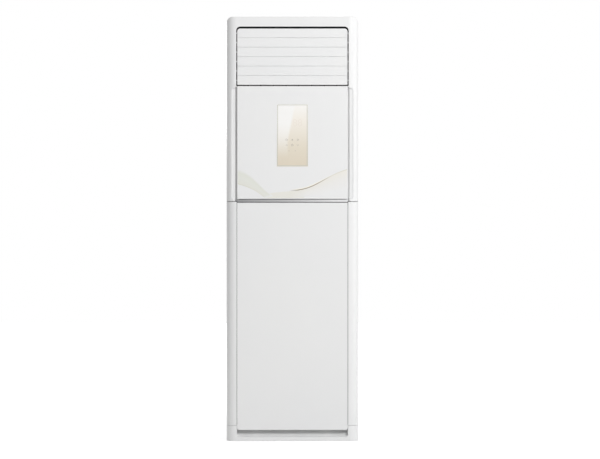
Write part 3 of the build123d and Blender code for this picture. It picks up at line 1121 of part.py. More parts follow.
with BuildPart() as blower_housing:
    depth = SCROLL_BACK - SCROLL_FRONT
    extrude(scroll(SCROLL_BACK, SCROLL_T), amount=depth)
    flange_x = (SCROLL_LEFT - SCROLL_T - SCROLL_FLANGE, SCROLL_RIGHT + SCROLL_T + SCROLL_FLANGE)
    flange_y = (SCROLL_FRONT - SCROLL_FLANGE, SCROLL_BACK + SCROLL_FLANGE)
    block(flange_x, flange_y, (SHELF_Z - SCROLL_T, SHELF_Z))
    for side in (-1, 1):
        foot_x = span(side * STAND_X[0], side * STAND_X[1])
        block(foot_x, STAND_Y, (BLOWER_FOOT, AXIS_Z - SCROLL_R + HOUSING_FOOT))
    extrude(scroll(SCROLL_BACK - SCROLL_T, 0.0), amount=depth - 2 * SCROLL_T, mode=Mode.SUBTRACT)
    rod(facing_front(SCROLL_FRONT + SCROLL_T), axis_at, WHEEL_R + WHEEL_PLAY, SCROLL_T, Mode.SUBTRACT)
    rod(facing_front(SCROLL_BACK), axis_at, BRACKET_HOLE, SCROLL_T, Mode.SUBTRACT)
write(blower_housing, "blower_housing")

shaft_line = Axis((AXIS_X, 0, AXIS_Z), (0, 1, 0))

with BuildPart() as blower_inlet_ring:
    front = SCROLL_FRONT - SCROLL_T
    rim = AXIS_Z + WHEEL_R + INLET_FLANGE
    centre = (front + INLET_CURVE, AXIS_Z + INLET_R + INLET_CURVE)
    outside = [(INLET_CURVE, angle) for angle in (0, 45, 90)]
    inside = [(INLET_CURVE - SCROLL_T, angle) for angle in (90, 45, 0)]
    bell = [(centre[0] - r * cos(radians(a)), centre[1] - r * sin(radians(a))) for r, a in outside + inside]
    with BuildSketch(facing_side(AXIS_X)) as section:
        with BuildLine():
            Polyline((SCROLL_FRONT, rim), (front, rim), *bell, close=True)
        make_face()
    revolve(axis=shaft_line)
write(blower_inlet_ring, "blower_inlet_ring")


def around(radius, angle):
    """A point at a radius and an angle from the shaft."""
    return (AXIS_X + radius * cos(radians(angle)), AXIS_Z + radius * sin(radians(angle)))


def blade(start):
    """One forward-curved blade, seen from the front, bent once."""
    middle = (BLADE_IN + BLADE_OUT) / 2
    stops = [(BLADE_IN, start), (middle, start + BLADE_SWEEP / 5), (BLADE_OUT, start + BLADE_SWEEP)]
    near = [around(radius, angle) for radius, angle in stops]
    far = [around(radius, angle + BLADE_ANGLE) for radius, angle in reversed(stops)]
    Polyline(*near, *far, close=True)


with BuildPart() as blower_wheel:
    with BuildSketch(facing_side(AXIS_X)) as disc:
        with BuildLine():
            web = WHEEL_BACK - DISC_T
            bore = SHAFT_R + SHAFT_PLAY
            half = [(web, WHEEL_R), (web, HUB_SKIRT), (HUB_FRONT, HUB_R), (HUB_FRONT, bore),
                    (HUB_BACK, bore), (HUB_BACK, HUB_R), (WHEEL_BACK, HUB_R), (WHEEL_BACK, WHEEL_R)]
            Polyline(*[(y, AXIS_Z + r) for y, r in half], close=True)
        make_face()
    revolve(axis=shaft_line)
    with BuildSketch(facing_front(WHEEL_BACK - DISC_T)) as cage:
        for n in range(BLADES):
            with BuildLine():
                blade(360 / BLADES * n)
            make_face()
    extrude(amount=WHEEL_BACK - DISC_T - WHEEL_FRONT)
    with BuildSketch(facing_front(WHEEL_FRONT + RING_H)) as ring:
        with Locations(axis_at):
            Circle(WHEEL_R)
            Circle(WHEEL_R - RING_W, mode=Mode.SUBTRACT)
    extrude(amount=RING_H)
write(blower_wheel, "blower_wheel")

with BuildPart() as motor_shaft:
    rod(facing_front(SHAFT_BACK), axis_at, SHAFT_R, SHAFT_BACK - SHAFT_FRONT)
    with BuildSketch(facing_front(HUB_FRONT)) as nut:
        with Locations(axis_at):
            RegularPolygon(SHAFT_NUT[0], 6)
    extrude(amount=SHAFT_NUT[1])
write(motor_shaft, "motor_shaft")

MOUNT_Y = SCROLL_BACK + BRACKET_T + POST_H
with BuildPart() as motor_bracket:
    bracket_x = (AXIS_X - BRACKET_HALF, AXIS_X + BRACKET_HALF)
    bracket_z = (AXIS_Z - BRACKET_HALF, AXIS_Z + BRACKET_HALF)
    block(bracket_x, (SCROLL_BACK, SCROLL_BACK + BRACKET_T), bracket_z)
    with BuildSketch(facing_front(MOUNT_Y)) as posts:
        with Locations(axis_at), GridLocations(2 * POST_HALF, 2 * POST_HALF, 2, 2):
            Circle(POST_R)
    extrude(amount=POST_H)
    rod(facing_front(SCROLL_BACK + BRACKET_T), axis_at, BRACKET_HOLE, BRACKET_T, Mode.SUBTRACT)
write(motor_bracket, "motor_bracket")

with BuildPart() as fan_motor:
    plate_x = (AXIS_X - POST_HALF - POST_R, AXIS_X + POST_HALF + POST_R)
    plate_z = (AXIS_Z - POST_HALF - POST_R, AXIS_Z + POST_HALF + POST_R)
    block(plate_x, (MOUNT_Y, MOUNT_Y + MOTOR_PLATE_T), plate_z)
    rod(facing_front(MOUNT_Y + FAN_MOTOR_H), axis_at, FAN_MOTOR_R, FAN_MOTOR_H)
    rod(facing_front(MOUNT_Y + FAN_MOTOR_H + BELL_H), axis_at, BELL_R, BELL_H)
    rod(facing_front(MOUNT_Y), axis_at, HUB_R, BOSS_H)
    bore = SHAFT_BACK + SHAFT_NOSE
    rod(facing_front(bore), axis_at, SHAFT_R + SHAFT_PLAY, bore - MOUNT_Y + BOSS_H, Mode.SUBTRACT)
write(fan_motor, "fan_motor")

with BuildPart() as blower_stand:
    for side in (-1, 1):
        block(span(side * STAND_X[0], side * STAND_X[1]), STAND_Y, (BASE_TOP, BLOWER_FOOT))
        open_x = span(side * STAND_X[0], side * (STAND_X[1] - STAND_T))
        open_y = (STAND_Y[0] + STAND_T, STAND_Y[1] - STAND_T)
        block(open_x, open_y, (BASE_TOP, BLOWER_FOOT - STAND_T), Mode.SUBTRACT)
write(blower_stand, "blower_stand")

# ---------------------------------------------------------------- electrics and rear fittings

BOX_HALF = 92.0
BOX_FRONT = -20.0
BOX_BACK = 70.0
BOX_H = 330.0
BOX_T = 1.2
LID_EDGE = 8.0
MAIN_HALF = 75.0
MAIN_LOW = 25.0
MAIN_H = 260.0
MAIN_STANDOFF = 14.0
MAIN_POST_HALF = 3.0
MAIN_POST_INSET = 6.0
# Components on the main board: middle across, middle up, width, height and depth
FITTED = [(-50, 60, 40, 36, 34), (0, 60, 30, 24, 22), (45, 60, 28, 20, 30), (-45, 130, 30, 30, 20),
          (10, 135, 50, 14, 12), (50, 190, 22, 40, 26), (-20, 205, 60, 30, 16)]
TERMINALS = 5
TERMINAL_HALF = 50.0
TERMINAL_Y = (0.0, 30.0)
TERMINAL_BED = 8.0
TERMINAL_H = 20.0
FENCE_T = 2.0
GLAND_FLANGE = 19.0
GLAND_NUT_T = 5.0
GLAND_LENGTH = 20.0
GLAND_BORE = 6.0

BOX_TOP = BASE_TOP + BOX_H
MAIN_Y = BOX_BACK - BOX_T - MAIN_STANDOFF - BOARD_T
MAIN_Z = (BASE_TOP + MAIN_LOW, BASE_TOP + MAIN_LOW + MAIN_H)

with BuildPart() as electrical_box:
    block((-BOX_HALF, BOX_HALF), (BOX_FRONT, BOX_BACK), (BASE_TOP, BOX_TOP))
    inner = (BOX_T - BOX_HALF, BOX_HALF - BOX_T)
    block(inner, (BOX_FRONT, BOX_BACK - BOX_T), (BASE_TOP + BOX_T, BOX_TOP - BOX_T), Mode.SUBTRACT)
    for post_x in (MAIN_POST_INSET - MAIN_HALF, MAIN_HALF - MAIN_POST_INSET):
        for post_z in (MAIN_Z[0] + MAIN_POST_INSET, MAIN_Z[1] - MAIN_POST_INSET):
            across = (post_x - MAIN_POST_HALF, post_x + MAIN_POST_HALF)
            up = (post_z - MAIN_POST_HALF, post_z + MAIN_POST_HALF)
            block(across, (MAIN_Y + BOARD_T, BOX_BACK - BOX_T / 2), up)
write(electrical_box, "electrical_box")

with BuildPart() as electrical_box_cover:
    wide = BOX_HALF + BOX_T
    block((-wide, wide), (BOX_FRONT - BOX_T, BOX_FRONT + LID_EDGE), (BASE_TOP, BOX_TOP + BOX_T))
    block((-BOX_HALF, BOX_HALF), (BOX_FRONT, BOX_FRONT + LID_EDGE), (BASE_TOP, BOX_TOP), Mode.SUBTRACT)
write(electrical_box_cover, "electrical_box_cover")

with BuildPart() as main_board:
    block((-MAIN_HALF, MAIN_HALF), (MAIN_Y, MAIN_Y + BOARD_T), MAIN_Z)
    for x, up, width, tall, out in FITTED:
        z = MAIN_Z[0] + up
        block((x - width / 2, x + width / 2), (MAIN_Y - out, MAIN_Y), (z - tall / 2, z + tall / 2))
write(main_board, "main_board")

with BuildPart() as terminal_block:
    block((-TERMINAL_HALF, TERMINAL_HALF), TERMINAL_Y, (BOX_TOP, BOX_TOP + TERMINAL_BED))
    for n in range(TERMINALS + 1):
        fence = (2 * TERMINAL_HALF - FENCE_T) * n / TERMINALS - TERMINAL_HALF
        block((fence, fence + FENCE_T), TERMINAL_Y, (BOX_TOP + TERMINAL_BED, BOX_TOP + TERMINAL_H))
write(terminal_block, "terminal_block")

with BuildPart() as cable_gland:
    at = (CABLE_X, CABLE_Z)
    rod(facing_front(REAR), at, GLAND_R, GLAND_LENGTH)
    for back, thickness in ((REAR, SHEET), (REAR_IN, GLAND_NUT_T)):
        with BuildSketch(facing_front(back)) as hexagon:
            with Locations(at):
                RegularPolygon(GLAND_FLANGE, 6)
        extrude(amount=thickness)
    rod(facing_front(REAR), at, GLAND_BORE, GLAND_LENGTH, Mode.SUBTRACT)
write(cable_gland, "cable_gland")

with BuildPart() as pipe_hole_seal:
    x = PIPE_HOLE_X
    z = PIPE_HOLE_Z
    lip_x = (x[0] - SEAL_LIP, x[1] + SEAL_LIP)
    lip_z = (z[0] - SEAL_LIP, z[1] + SEAL_LIP)
    for y in ((REAR - SHEET, REAR), (REAR_IN - SEAL_T, REAR_IN)):
        block(lip_x, y, lip_z)
    block(x, (REAR_IN, REAR), z)
    inner_x = (x[0] + SEAL_T, x[1] - SEAL_T)
    block(inner_x, (REAR_IN - SEAL_T, REAR), (z[0] + SEAL_T, z[1] - SEAL_T), Mode.SUBTRACT)
write(pipe_hole_seal, "pipe_hole_seal")
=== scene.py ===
"""Finishes, small parts, lights and camera of a floor standing air conditioner.

Metres. +X is the viewer's right, -Y the front, +Z up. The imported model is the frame: every piece here is
placed from the boxes of its nodes.
"""

import json
import math

import bmesh
import bpy
from mathutils import Matrix, Vector


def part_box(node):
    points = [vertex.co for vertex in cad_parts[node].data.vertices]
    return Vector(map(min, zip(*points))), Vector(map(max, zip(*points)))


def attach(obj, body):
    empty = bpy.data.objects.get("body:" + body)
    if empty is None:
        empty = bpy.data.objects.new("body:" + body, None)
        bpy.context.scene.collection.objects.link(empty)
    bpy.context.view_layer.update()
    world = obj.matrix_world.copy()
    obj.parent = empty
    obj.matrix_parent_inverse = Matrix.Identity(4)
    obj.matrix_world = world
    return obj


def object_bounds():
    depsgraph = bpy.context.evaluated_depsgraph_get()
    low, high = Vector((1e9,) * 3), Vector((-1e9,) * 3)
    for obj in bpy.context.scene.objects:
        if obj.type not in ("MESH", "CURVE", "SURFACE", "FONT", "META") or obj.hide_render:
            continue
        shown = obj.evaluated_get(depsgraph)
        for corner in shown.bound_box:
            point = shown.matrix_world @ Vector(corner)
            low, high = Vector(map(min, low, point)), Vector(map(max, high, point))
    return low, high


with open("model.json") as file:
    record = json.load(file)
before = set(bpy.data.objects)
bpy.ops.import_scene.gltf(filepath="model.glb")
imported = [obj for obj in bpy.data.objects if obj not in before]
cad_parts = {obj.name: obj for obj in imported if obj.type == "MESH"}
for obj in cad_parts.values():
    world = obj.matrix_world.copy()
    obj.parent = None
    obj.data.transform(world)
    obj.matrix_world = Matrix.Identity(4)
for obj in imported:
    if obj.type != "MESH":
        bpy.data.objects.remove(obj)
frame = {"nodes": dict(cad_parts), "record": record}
NODES = frame["nodes"]
CAD_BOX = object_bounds()
CABINET = "cabinet"
MM = 0.001


# ---------------------------------------------------------------- the photograph's frame

IMAGE_WIDTH = 600
IMAGE_HEIGHT = 459
PIXEL = 4.245 * MM  # size of a pixel at the frame's plane
MIDDLE_PX = 292.4  # the object's middle in the photograph
FLOOR_PX = 441.0  # the floor line there
CAMERA_DISTANCE = 12.0
FRAME_DEPTH = 20.0 * MM  # the frame's plane, behind the front face
SENSOR = 36.0


def photo_x(px):
    """X of a column of the photograph, on the case's front."""
    return (px - MIDDLE_PX) * PIXEL


def photo_z(py):
    """Z of a row of the photograph, on the case's front."""
    return (FLOOR_PX - py) * PIXEL


# ---------------------------------------------------------------- node materials


class Finish:
    """A Principled material that is built up node by node."""

    def __init__(self, name, colour, roughness, metallic=0.0, coat=0.0, coat_roughness=0.1):
        self.material = bpy.data.materials.new(name)
        self.material.use_nodes = True
        self.tree = self.material.node_tree
        self.shader = self.tree.nodes["Principled BSDF"]
        self.colour = colour
        self.roughness = roughness
        self.set("Base Color", (*colour, 1.0))
        self.set("Roughness", roughness)
        self.set("Metallic", metallic)
        self.set("Coat Weight", coat)
        self.set("Coat Roughness", coat_roughness)
        self.place = self.add("ShaderNodeTexCoord").outputs["Object"]
        self.relief = None

    def set(self, socket, value):
        self.shader.inputs[socket].default_value = value

    def add(self, kind, inputs=None, **settings):
        """A new node with its settings, and its inputs given as values or as sockets to link."""
        node = self.tree.nodes.new(kind)
        for key, value in settings.items():
            setattr(node, key, value)
        for key, value in (inputs or {}).items():
            if isinstance(value, bpy.types.NodeSocket):
                self.tree.links.new(value, node.inputs[key])
            else:
                node.inputs[key].default_value = value
        return node

    def math(self, operation, *values, clamp=False):
        inputs = dict(enumerate(values))
        return self.add("ShaderNodeMath", inputs, operation=operation, use_clamp=clamp).outputs[0]

    def axes(self):
        """X, Y and Z of a point, in the object's own frame."""
        return self.add("ShaderNodeSeparateXYZ", {0: self.place}).outputs

    def stretched(self, x, y, z):
        """The place, scaled along each axis."""
        return self.add("ShaderNodeMapping", {"Vector": self.place, "Scale": (x, y, z)}).outputs[0]

    def noise(self, scale, detail=3.0, place=None):
        inputs = {"Vector": place or self.place, "Scale": scale, "Detail": detail}
        return self.add("ShaderNodeTexNoise", inputs).outputs["Fac"]

    def cells(self, scale, feature="F1", output="Distance", place=None):
        inputs = {"Vector": place or self.place, "Scale": scale}
        return self.add("ShaderNodeTexVoronoi", inputs, feature=feature).outputs[output]

    def remap(self, value, low, high, new_low, new_high):
        inputs = {0: value, 1: low, 2: high, 3: new_low, 4: new_high}
        return self.add("ShaderNodeMapRange", inputs).outputs[0]

    def mix(self, share, a, b):
        """A colour between two, which are colours or sockets."""
        node = self.add("ShaderNodeMix", data_type="RGBA")
        pairs = ((node.inputs[0], share), (node.inputs[6], a), (node.inputs[7], b))
        for socket, value in pairs:
            if isinstance(value, bpy.types.NodeSocket):
                self.tree.links.new(value, socket)
            elif socket is node.inputs[0]:
                socket.default_value = value
            else:
                socket.default_value = (*value, 1.0)
        return node.outputs[2]

    def use(self, socket, value):
        self.tree.links.new(value, self.shader.inputs[socket])

    def tint(self, share, other, base=None):
        """Vary the base colour towards another."""
        colour = self.mix(share, base or self.colour, other)
        self.use("Base Color", colour)
        return colour

    def vary_roughness(self, value, by):
        self.use("Roughness", self.remap(value, 0.3, 0.7, self.roughness - by, self.roughness + by))

    def bump(self, height, distance, strength=1.0):
        """Surface relief of a real height in metres; more than one is chained."""
        inputs = {"Height": height, "Distance": distance, "Strength": strength}
        if self.relief:
            inputs["Normal"] = self.relief
        self.relief = self.add("ShaderNodeBump", inputs).outputs[0]
        self.use("Normal", self.relief)


def ramp_colour(made, value, stops):
    """A colour that runs through stops of position and colour."""
    ramp = made.add("ShaderNodeValToRGB", {0: value})
    bands = ramp.color_ramp.elements
    bands[1].position = stops[-1][0]
    bands[1].color = (*stops[-1][1], 1.0)
    bands[0].position = stops[0][0]
    bands[0].color = (*stops[0][1], 1.0)
    for position, colour in stops[1:-1]:
        bands.new(position).color = (*colour, 1.0)
    return ramp.outputs[0]


def moulding_white():
    """Glossy white plastic with a hardly seen flow of tone and a trace of orange peel."""
    made = Finish("moulding_white", (0.89, 0.89, 0.885), 0.24)
    flow = made.noise(2.2, 2.0)
    made.tint(made.remap(flow, 0.3, 0.7, 0.0, 1.0), (0.875, 0.878, 0.88))
    made.vary_roughness(made.noise(35.0), 0.02)
    made.bump(made.noise(260.0, 1.0), 0.00001)
    return made


def case_white():
    """White powder coat: fine orange peel, duller than the mouldings."""
    made = Finish("case_white", (0.86, 0.86, 0.85), 0.4)
    made.tint(made.remap(made.noise(3.0), 0.3, 0.7, 0.0, 1.0), (0.83, 0.83, 0.825))
    made.vary_roughness(made.noise(60.0), 0.06)
    made.bump(made.cells(700.0, "SMOOTH_F1"), 0.00008)
    return made


TRIM_HALF = 235.0 * MM
# Painted shade and light: the strip's colour runs from dark at its left end to light at its right.
TRIM_PAINTED_LIGHT_TONES = [(0.0, (0.31, 0.31, 0.315)), (0.5, (0.52, 0.52, 0.525)), (1.0, (0.84, 0.84, 0.845))]


def trim_silver():
    """Satin silver paint with a fine brush along its length, with painted shade towards the left end and
    painted light towards the right.
    """
    made = Finish("trim_silver", (0.33, 0.33, 0.34), 0.34, metallic=0.15)
    along = made.remap(made.axes()[0], -TRIM_HALF, TRIM_HALF, 0.0, 1.0)
    # Painted shade and light along the strip, darker at the left end and lighter at the right.
    painted_light_and_shade = ramp_colour(made, along, TRIM_PAINTED_LIGHT_TONES)
    brush = made.noise(1.0, 2.0, made.stretched(25.0, 2500.0, 2500.0))
    made.tint(made.remap(brush, 0.3, 0.7, 0.0, 0.12), (0.5, 0.5, 0.51), painted_light_and_shade)
    made.vary_roughness(brush, 0.06)
    made.bump(brush, 0.00002)
    return made


FILM_TONES = [(0.0, (0.76, 0.675, 0.54)), (0.3, (0.80, 0.73, 0.60)), (0.75, (0.95, 0.90, 0.82)),
              (1.0, (0.99, 0.98, 0.95))]
FILM_PAINTED_REFLECTION = (0.99, 0.985, 0.965)
REFLECTION_WEDGE_EDGE = (0.36, 0.6)  # the painted reflection wedge's share of the width, low down and at the top


def display_gold():
    """Champagne film behind clear plastic: cream at the top, beige below, with a painted reflection as a
    bright wedge at the left.
    """
    made = Finish("display_gold", (0.72, 0.64, 0.51), 0.16, coat=0.6, coat_roughness=0.03)
    low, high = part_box("display_window")
    x, _, z = made.axes()
    across = made.remap(x, low.x, high.x, 0.0, 1.0)
    up = made.remap(z, low.z, high.z, 0.0, 1.0)
    film = ramp_colour(made, up, FILM_TONES)
    # Painted reflection: a bright wedge at the upper left that fades out downward.
    edge = made.remap(up, 0.4, 1.0, *REFLECTION_WEDGE_EDGE)
    beside = made.math("SUBTRACT", edge, across)
    reflection_wedge = made.remap(beside, -0.02, 0.05, 0.0, 1.0)
    fade = made.remap(up, 0.15, 0.7, 0.0, 1.0)
    share = made.math("MULTIPLY", reflection_wedge, fade, clamp=True)
    film_and_reflection = made.mix(share, film, FILM_PAINTED_REFLECTION)
    grain = made.noise(900.0, 2.0)
    made.tint(made.remap(grain, 0.35, 0.65, 0.0, 0.05), (0.95, 0.9, 0.8), film_and_reflection)
    made.vary_roughness(made.noise(40.0), 0.03)
    return made


def plain_plastic(name, colour, other, roughness):
    """Matt moulded plastic with a fine eroded grain."""
    made = Finish(name, colour, roughness)
    made.tint(made.remap(made.noise(14.0), 0.3, 0.7, 0.0, 1.0), other)
    made.vary_roughness(made.noise(90.0), 0.08)
    made.bump(made.noise(1500.0, 3.0), 0.00006)
    return made


MESH_PITCH = 1.3 * MM
MESH_HALF_DEPTH = 0.7 * MM
WIRE_SHARE = 0.16  # half a wire, of the pitch


def filter_black():
    """A dark frame with a fine woven mesh in its middle plane."""
    made = Finish("filter_black", (0.045, 0.045, 0.05), 0.6)
    low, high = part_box("filter_right")
    middle = (low.x + high.x) / 2
    x, y, z = made.axes()
    off_middle = made.math("SUBTRACT", made.math("ABSOLUTE", x), middle)
    holes = made.math("LESS_THAN", made.math("ABSOLUTE", off_middle), MESH_HALF_DEPTH)
    for axis in (y, z):
        wave = made.math("PINGPONG", axis, MESH_PITCH / 2)
        holes = made.math("MULTIPLY", holes, made.math("GREATER_THAN", wave, WIRE_SHARE * MESH_PITCH))
    made.tint(made.remap(made.noise(30.0), 0.3, 0.7, 0.0, 1.0), (0.07, 0.07, 0.075))
    see_through = made.add("ShaderNodeBsdfTransparent").outputs[0]
    both = made.add("ShaderNodeMixShader", {0: holes, 1: made.shader.outputs[0], 2: see_through})
    out = made.tree.nodes["Material Output"].inputs["Surface"]
    made.tree.links.new(both.outputs[0], out)
    return made


def galvanised():
    """Zinc coated sheet with its spangle."""
    made = Finish("galvanised", (0.56, 0.58, 0.59), 0.38, metallic=0.9)
    spangle = made.cells(85.0, output="Color")
    tone = made.add("ShaderNodeSeparateColor", {0: spangle}).outputs[0]
    made.tint(tone, (0.68, 0.70, 0.71))
    made.vary_roughness(tone, 0.1)
    made.bump(tone, 0.00003)
    return made


FIN_HALF_PITCH = 0.9 * MM


def fin_aluminium():
    """Stacked bare fins: thin bright edges with painted shade in the gaps between them, upright to the coil.
    """
    made = Finish("fin_aluminium", (0.74, 0.76, 0.78), 0.35, metallic=0.85)
    x = made.axes()[0]
    edge = made.math("PINGPONG", x, FIN_HALF_PITCH)
    fin = made.remap(edge, 0.0, FIN_HALF_PITCH, 0.0, 1.0)
    # Painted shade: the colour darkens to near black in the gaps between the fins.
    made.tint(made.remap(fin, 0.25, 0.7, 1.0, 0.0), (0.16, 0.17, 0.18))
    made.bump(fin, 0.0006)
    return made


def bare_metal(name, colour, worn, roughness, streak):
    """Bare metal with drawn or turned streaks and a little tarnish."""
    made = Finish(name, colour, roughness, metallic=1.0)
    made.tint(made.remap(made.noise(22.0, 5.0), 0.45, 0.75, 0.0, 0.8), worn)
    line = made.noise(1.0, 3.0, made.stretched(*streak))
    made.vary_roughness(line, 0.1)
    made.bump(line, 0.00003)
    return made


def foam():
    """Expanded polystyrene: welded beads."""
    made = Finish("foam", (0.86, 0.86, 0.84), 0.85)
    beads = made.cells(230.0)
    made.tint(made.remap(beads, 0.3, 0.7, 0.0, 0.5), (0.72, 0.72, 0.7))
    made.bump(made.remap(beads, 0.0, 0.8, 1.0, 0.0), 0.0004)
    return made


BOARD_GREEN = (0.02, 0.12, 0.06)
BOARD_THICK = 2.0 * MM


def board_green():
    """Circuit board with tracks; what stands on it is dark."""
    made = Finish("board_green", BOARD_GREEN, 0.35, coat=0.3)
    tracks = made.cells(120.0, "DISTANCE_TO_EDGE", place=made.stretched(1.0, 0.0, 1.6))
    track_share = made.remap(tracks, 0.03, 0.06, 1.0, 0.0)
    plain_board = made.mix(track_share, BOARD_GREEN, (0.05, 0.24, 0.11))
    y = made.axes()[1]
    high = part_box("main_board")[1]
    front_of_board = made.math("LESS_THAN", y, high.y - BOARD_THICK)
    behind_display = made.math("GREATER_THAN", y, 0.0)
    fitted = made.math("MULTIPLY", front_of_board, behind_display)
    tone = made.cells(28.0, output="Color", place=made.stretched(1.0, 0.0, 1.0))
    grey = made.add("ShaderNodeSeparateColor", {0: tone}).outputs[1]
    part = made.mix(grey, (0.02, 0.02, 0.022), (0.32, 0.3, 0.26))
    made.tint(fitted, part, plain_board)
    made.bump(track_share, 0.00004)
    return made


FINISHES = {
    "moulding_white": moulding_white(),
    "case_white": case_white(),
    "trim_silver": trim_silver(),
    "display_gold": display_gold(),
    # The inner plastic is near black partly as its own dark grey and partly as painted shade, so the gaps
    # round the louvres and panels read dark.
    "inner_grey": plain_plastic("inner_grey", (0.03, 0.03, 0.032), (0.042, 0.042, 0.045), 0.6),
    "motor_black": plain_plastic("motor_black", (0.025, 0.025, 0.027), (0.04, 0.04, 0.042), 0.5),
    "wheel_grey": plain_plastic("wheel_grey", (0.09, 0.095, 0.105), (0.12, 0.125, 0.135), 0.5),
    "rubber_black": plain_plastic("rubber_black", (0.022, 0.022, 0.022), (0.04, 0.039, 0.038), 0.75),
    "filter_black": filter_black(),
    "galvanised": galvanised(),
    "fin_aluminium": fin_aluminium(),
    "copper": bare_metal("copper", (0.78, 0.42, 0.27), (0.45, 0.22, 0.14), 0.28, (900.0, 900.0, 20.0)),
    "union_brass": bare_metal("union_brass", (0.8, 0.62, 0.3), (0.55, 0.4, 0.18), 0.25, (20.0, 2500.0, 20.0)),
    "heater_steel": bare_metal("heater_steel", (0.5, 0.5, 0.52), (0.32, 0.32, 0.33), 0.38,
                               (20.0, 900.0, 900.0)),
    "foam": foam(),
    "board_green": board_green(),
}

for part in frame["record"]["subparts"]:
    for slot in NODES[part["node"]].material_slots:
        slot.material = FINISHES[part["material_slot"]].material


# ---------------------------------------------------------------- pieces


def piece(name, vertices, faces, finish, slot, body=CABINET, shares=None):
    """A mesh piece that rides on a body; shares are named values that its finish reads at each vertex."""
    mesh = bpy.data.meshes.new(name)
    mesh.from_pydata(vertices, [], faces)
    for key, numbers in (shares or {}).items():
        values = mesh.attributes.new(key, "FLOAT", "POINT")
        values.data.foreach_set("value", numbers)
    mesh.materials.append(finish.material)
    made = bpy.data.objects.new(name, mesh)
    bpy.context.scene.collection.objects.link(made)
    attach(made, body)
    return made


def face_outward(mesh):
    """Turn the faces of a closed mesh outward."""
    shell = bmesh.new()
    shell.from_mesh(mesh)
    bmesh.ops.recalc_face_normals(shell, faces=shell.faces)
    shell.to_mesh(mesh)
    shell.free()


def grid_faces(rows, columns, closed=False):
    """The faces of a grid of vertices, row after row."""
    last = columns if closed else columns - 1
    faces = []
    for row in range(rows - 1):
        for column in range(last):
            after = (column + 1) % columns
            here = row * columns
            faces.append((here + column, here + after, here + columns + after, here + columns + column))
    return faces


def film(vertices, faces, back):
    """A flat sheet of faces made into a thin closed film, with its back at a Y and walls round its edges."""
    count = len(vertices)
    edges = {(face[n - 1], face[n]) for face in faces for n in range(len(face))}
    walls = [(b, a, a + count, b + count) for a, b in sorted(edges) if (b, a) not in edges]
    backs = [tuple(v + count for v in reversed(face)) for face in faces]
    return vertices + [(x, back, z) for x, _, z in vertices], faces + backs + walls


def bezier(points, t):
    """A point of a cubic curve in the panel's plane."""
    s = 1.0 - t
    weights = (s**3, 3 * s**2 * t, 3 * s * t**2, t**3)
    return tuple(sum(w * p[axis] for w, p in zip(weights, points)) for axis in (0, 1))


# ---------------------------------------------------------------- ribbon ornament on the upper panel

RIBBON_LENGTH_STEPS = 72
RIBBON_CROSS_STEPS = 6
RIBBON_PROUD = 0.03 * MM  # for each layer
PANEL_WHITE = (0.885, 0.886, 0.885)


def printed(name, stops, far=None, turn=(0.35, 0.85), start=0.0, end=0.0):
    """The panel's gloss with tones across a ribbon, other ones beyond its turn, and a fade at each end."""
    made = Finish(name, PANEL_WHITE, 0.24)
    across = made.add("ShaderNodeAttribute", attribute_name="across").outputs["Fac"]
    along = made.add("ShaderNodeAttribute", attribute_name="along").outputs["Fac"]
    shown = ramp_colour(made, across, stops)
    if far:
        shown = made.mix(made.remap(along, *turn, 0.0, 1.0), shown, ramp_colour(made, across, far))
    if start:
        shown = made.mix(made.remap(along, 0.0, start, 1.0, 0.0), shown, PANEL_WHITE)
    if end:
        shown = made.mix(made.remap(along, 1.0 - end, 1.0, 0.0, 1.0), shown, PANEL_WHITE)
    fine = made.noise(1200.0, 2.0)
    made.tint(made.remap(fine, 0.35, 0.65, 0.0, 0.04), (0.6, 0.55, 0.4), shown)
    return made


def ribbon(name, low_edge, high_edge, finish, layer):
    """A printed ribbon between two curves, in millimetres on the panel's face; layers lie over each other."""
    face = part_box("upper_front_panel")[0].y
    y = face - RIBBON_PROUD * layer
    vertices = []
    shares = {"across": [], "along": []}
    for row in range(RIBBON_CROSS_STEPS + 1):
        share = row / RIBBON_CROSS_STEPS
        for column in range(RIBBON_LENGTH_STEPS + 1):
            t = column / RIBBON_LENGTH_STEPS
            low = bezier(low_edge, t)
            high = bezier(high_edge, t)
            x, z = (a + (b - a) * share for a, b in zip(low, high))
            vertices.append((x * MM, y, z * MM))
            shares["across"].append(share)
            shares["along"].append(t)
    faces = grid_faces(RIBBON_CROSS_STEPS + 1, RIBBON_LENGTH_STEPS + 1)
    both_sides = {key: numbers * 2 for key, numbers in shares.items()}
    piece(name, *film(vertices, faces, face), finish, "display_gold", shares=both_sides)


SAGE = (0.80, 0.81, 0.75)
PALE_GOLD = (0.87, 0.84, 0.76)
SOFT_GOLD = (0.875, 0.855, 0.80)
CREAM = (0.99, 0.96, 0.88)
DARK_GOLD = (0.26, 0.21, 0.14)
FAINT_GOLD = (0.74, 0.72, 0.64)
BAND = (0.85, 0.84, 0.78)

SWEEP_FAR = [(0.0, PANEL_WHITE), (0.5, (0.885, 0.875, 0.855)), (1.0, SOFT_GOLD)]
LINE_NEAR = [(0.0, PALE_GOLD), (0.12, DARK_GOLD), (0.36, DARK_GOLD), (0.48, CREAM), (0.8, CREAM),
             (1.0, PANEL_WHITE)]
LINE_FAR = [(0.0, PALE_GOLD), (0.15, FAINT_GOLD), (0.32, FAINT_GOLD), (0.42, PANEL_WHITE),
            (1.0, PANEL_WHITE)]
VEIL_TONES = [(0.0, (0.70, 0.69, 0.58)), (0.06, (0.81, 0.81, 0.75)), (0.45, (0.82, 0.83, 0.78)),
              (0.8, SAGE), (1.0, PANEL_WHITE)]
BAND_TONES = [(0.0, BAND), (0.9, (0.86, 0.85, 0.80)), (1.0, PANEL_WHITE)]

sweep_finish = printed("print_sweep", [(0.0, BAND), (1.0, BAND)], far=SWEEP_FAR, turn=(0.02, 0.3))
line_finish = printed("print_line", LINE_NEAR, far=LINE_FAR, turn=(0.45, 0.75), start=0.12)
veil_finish = printed("print_veil", VEIL_TONES, end=0.08)
band_finish = printed("print_band", BAND_TONES, start=0.1)

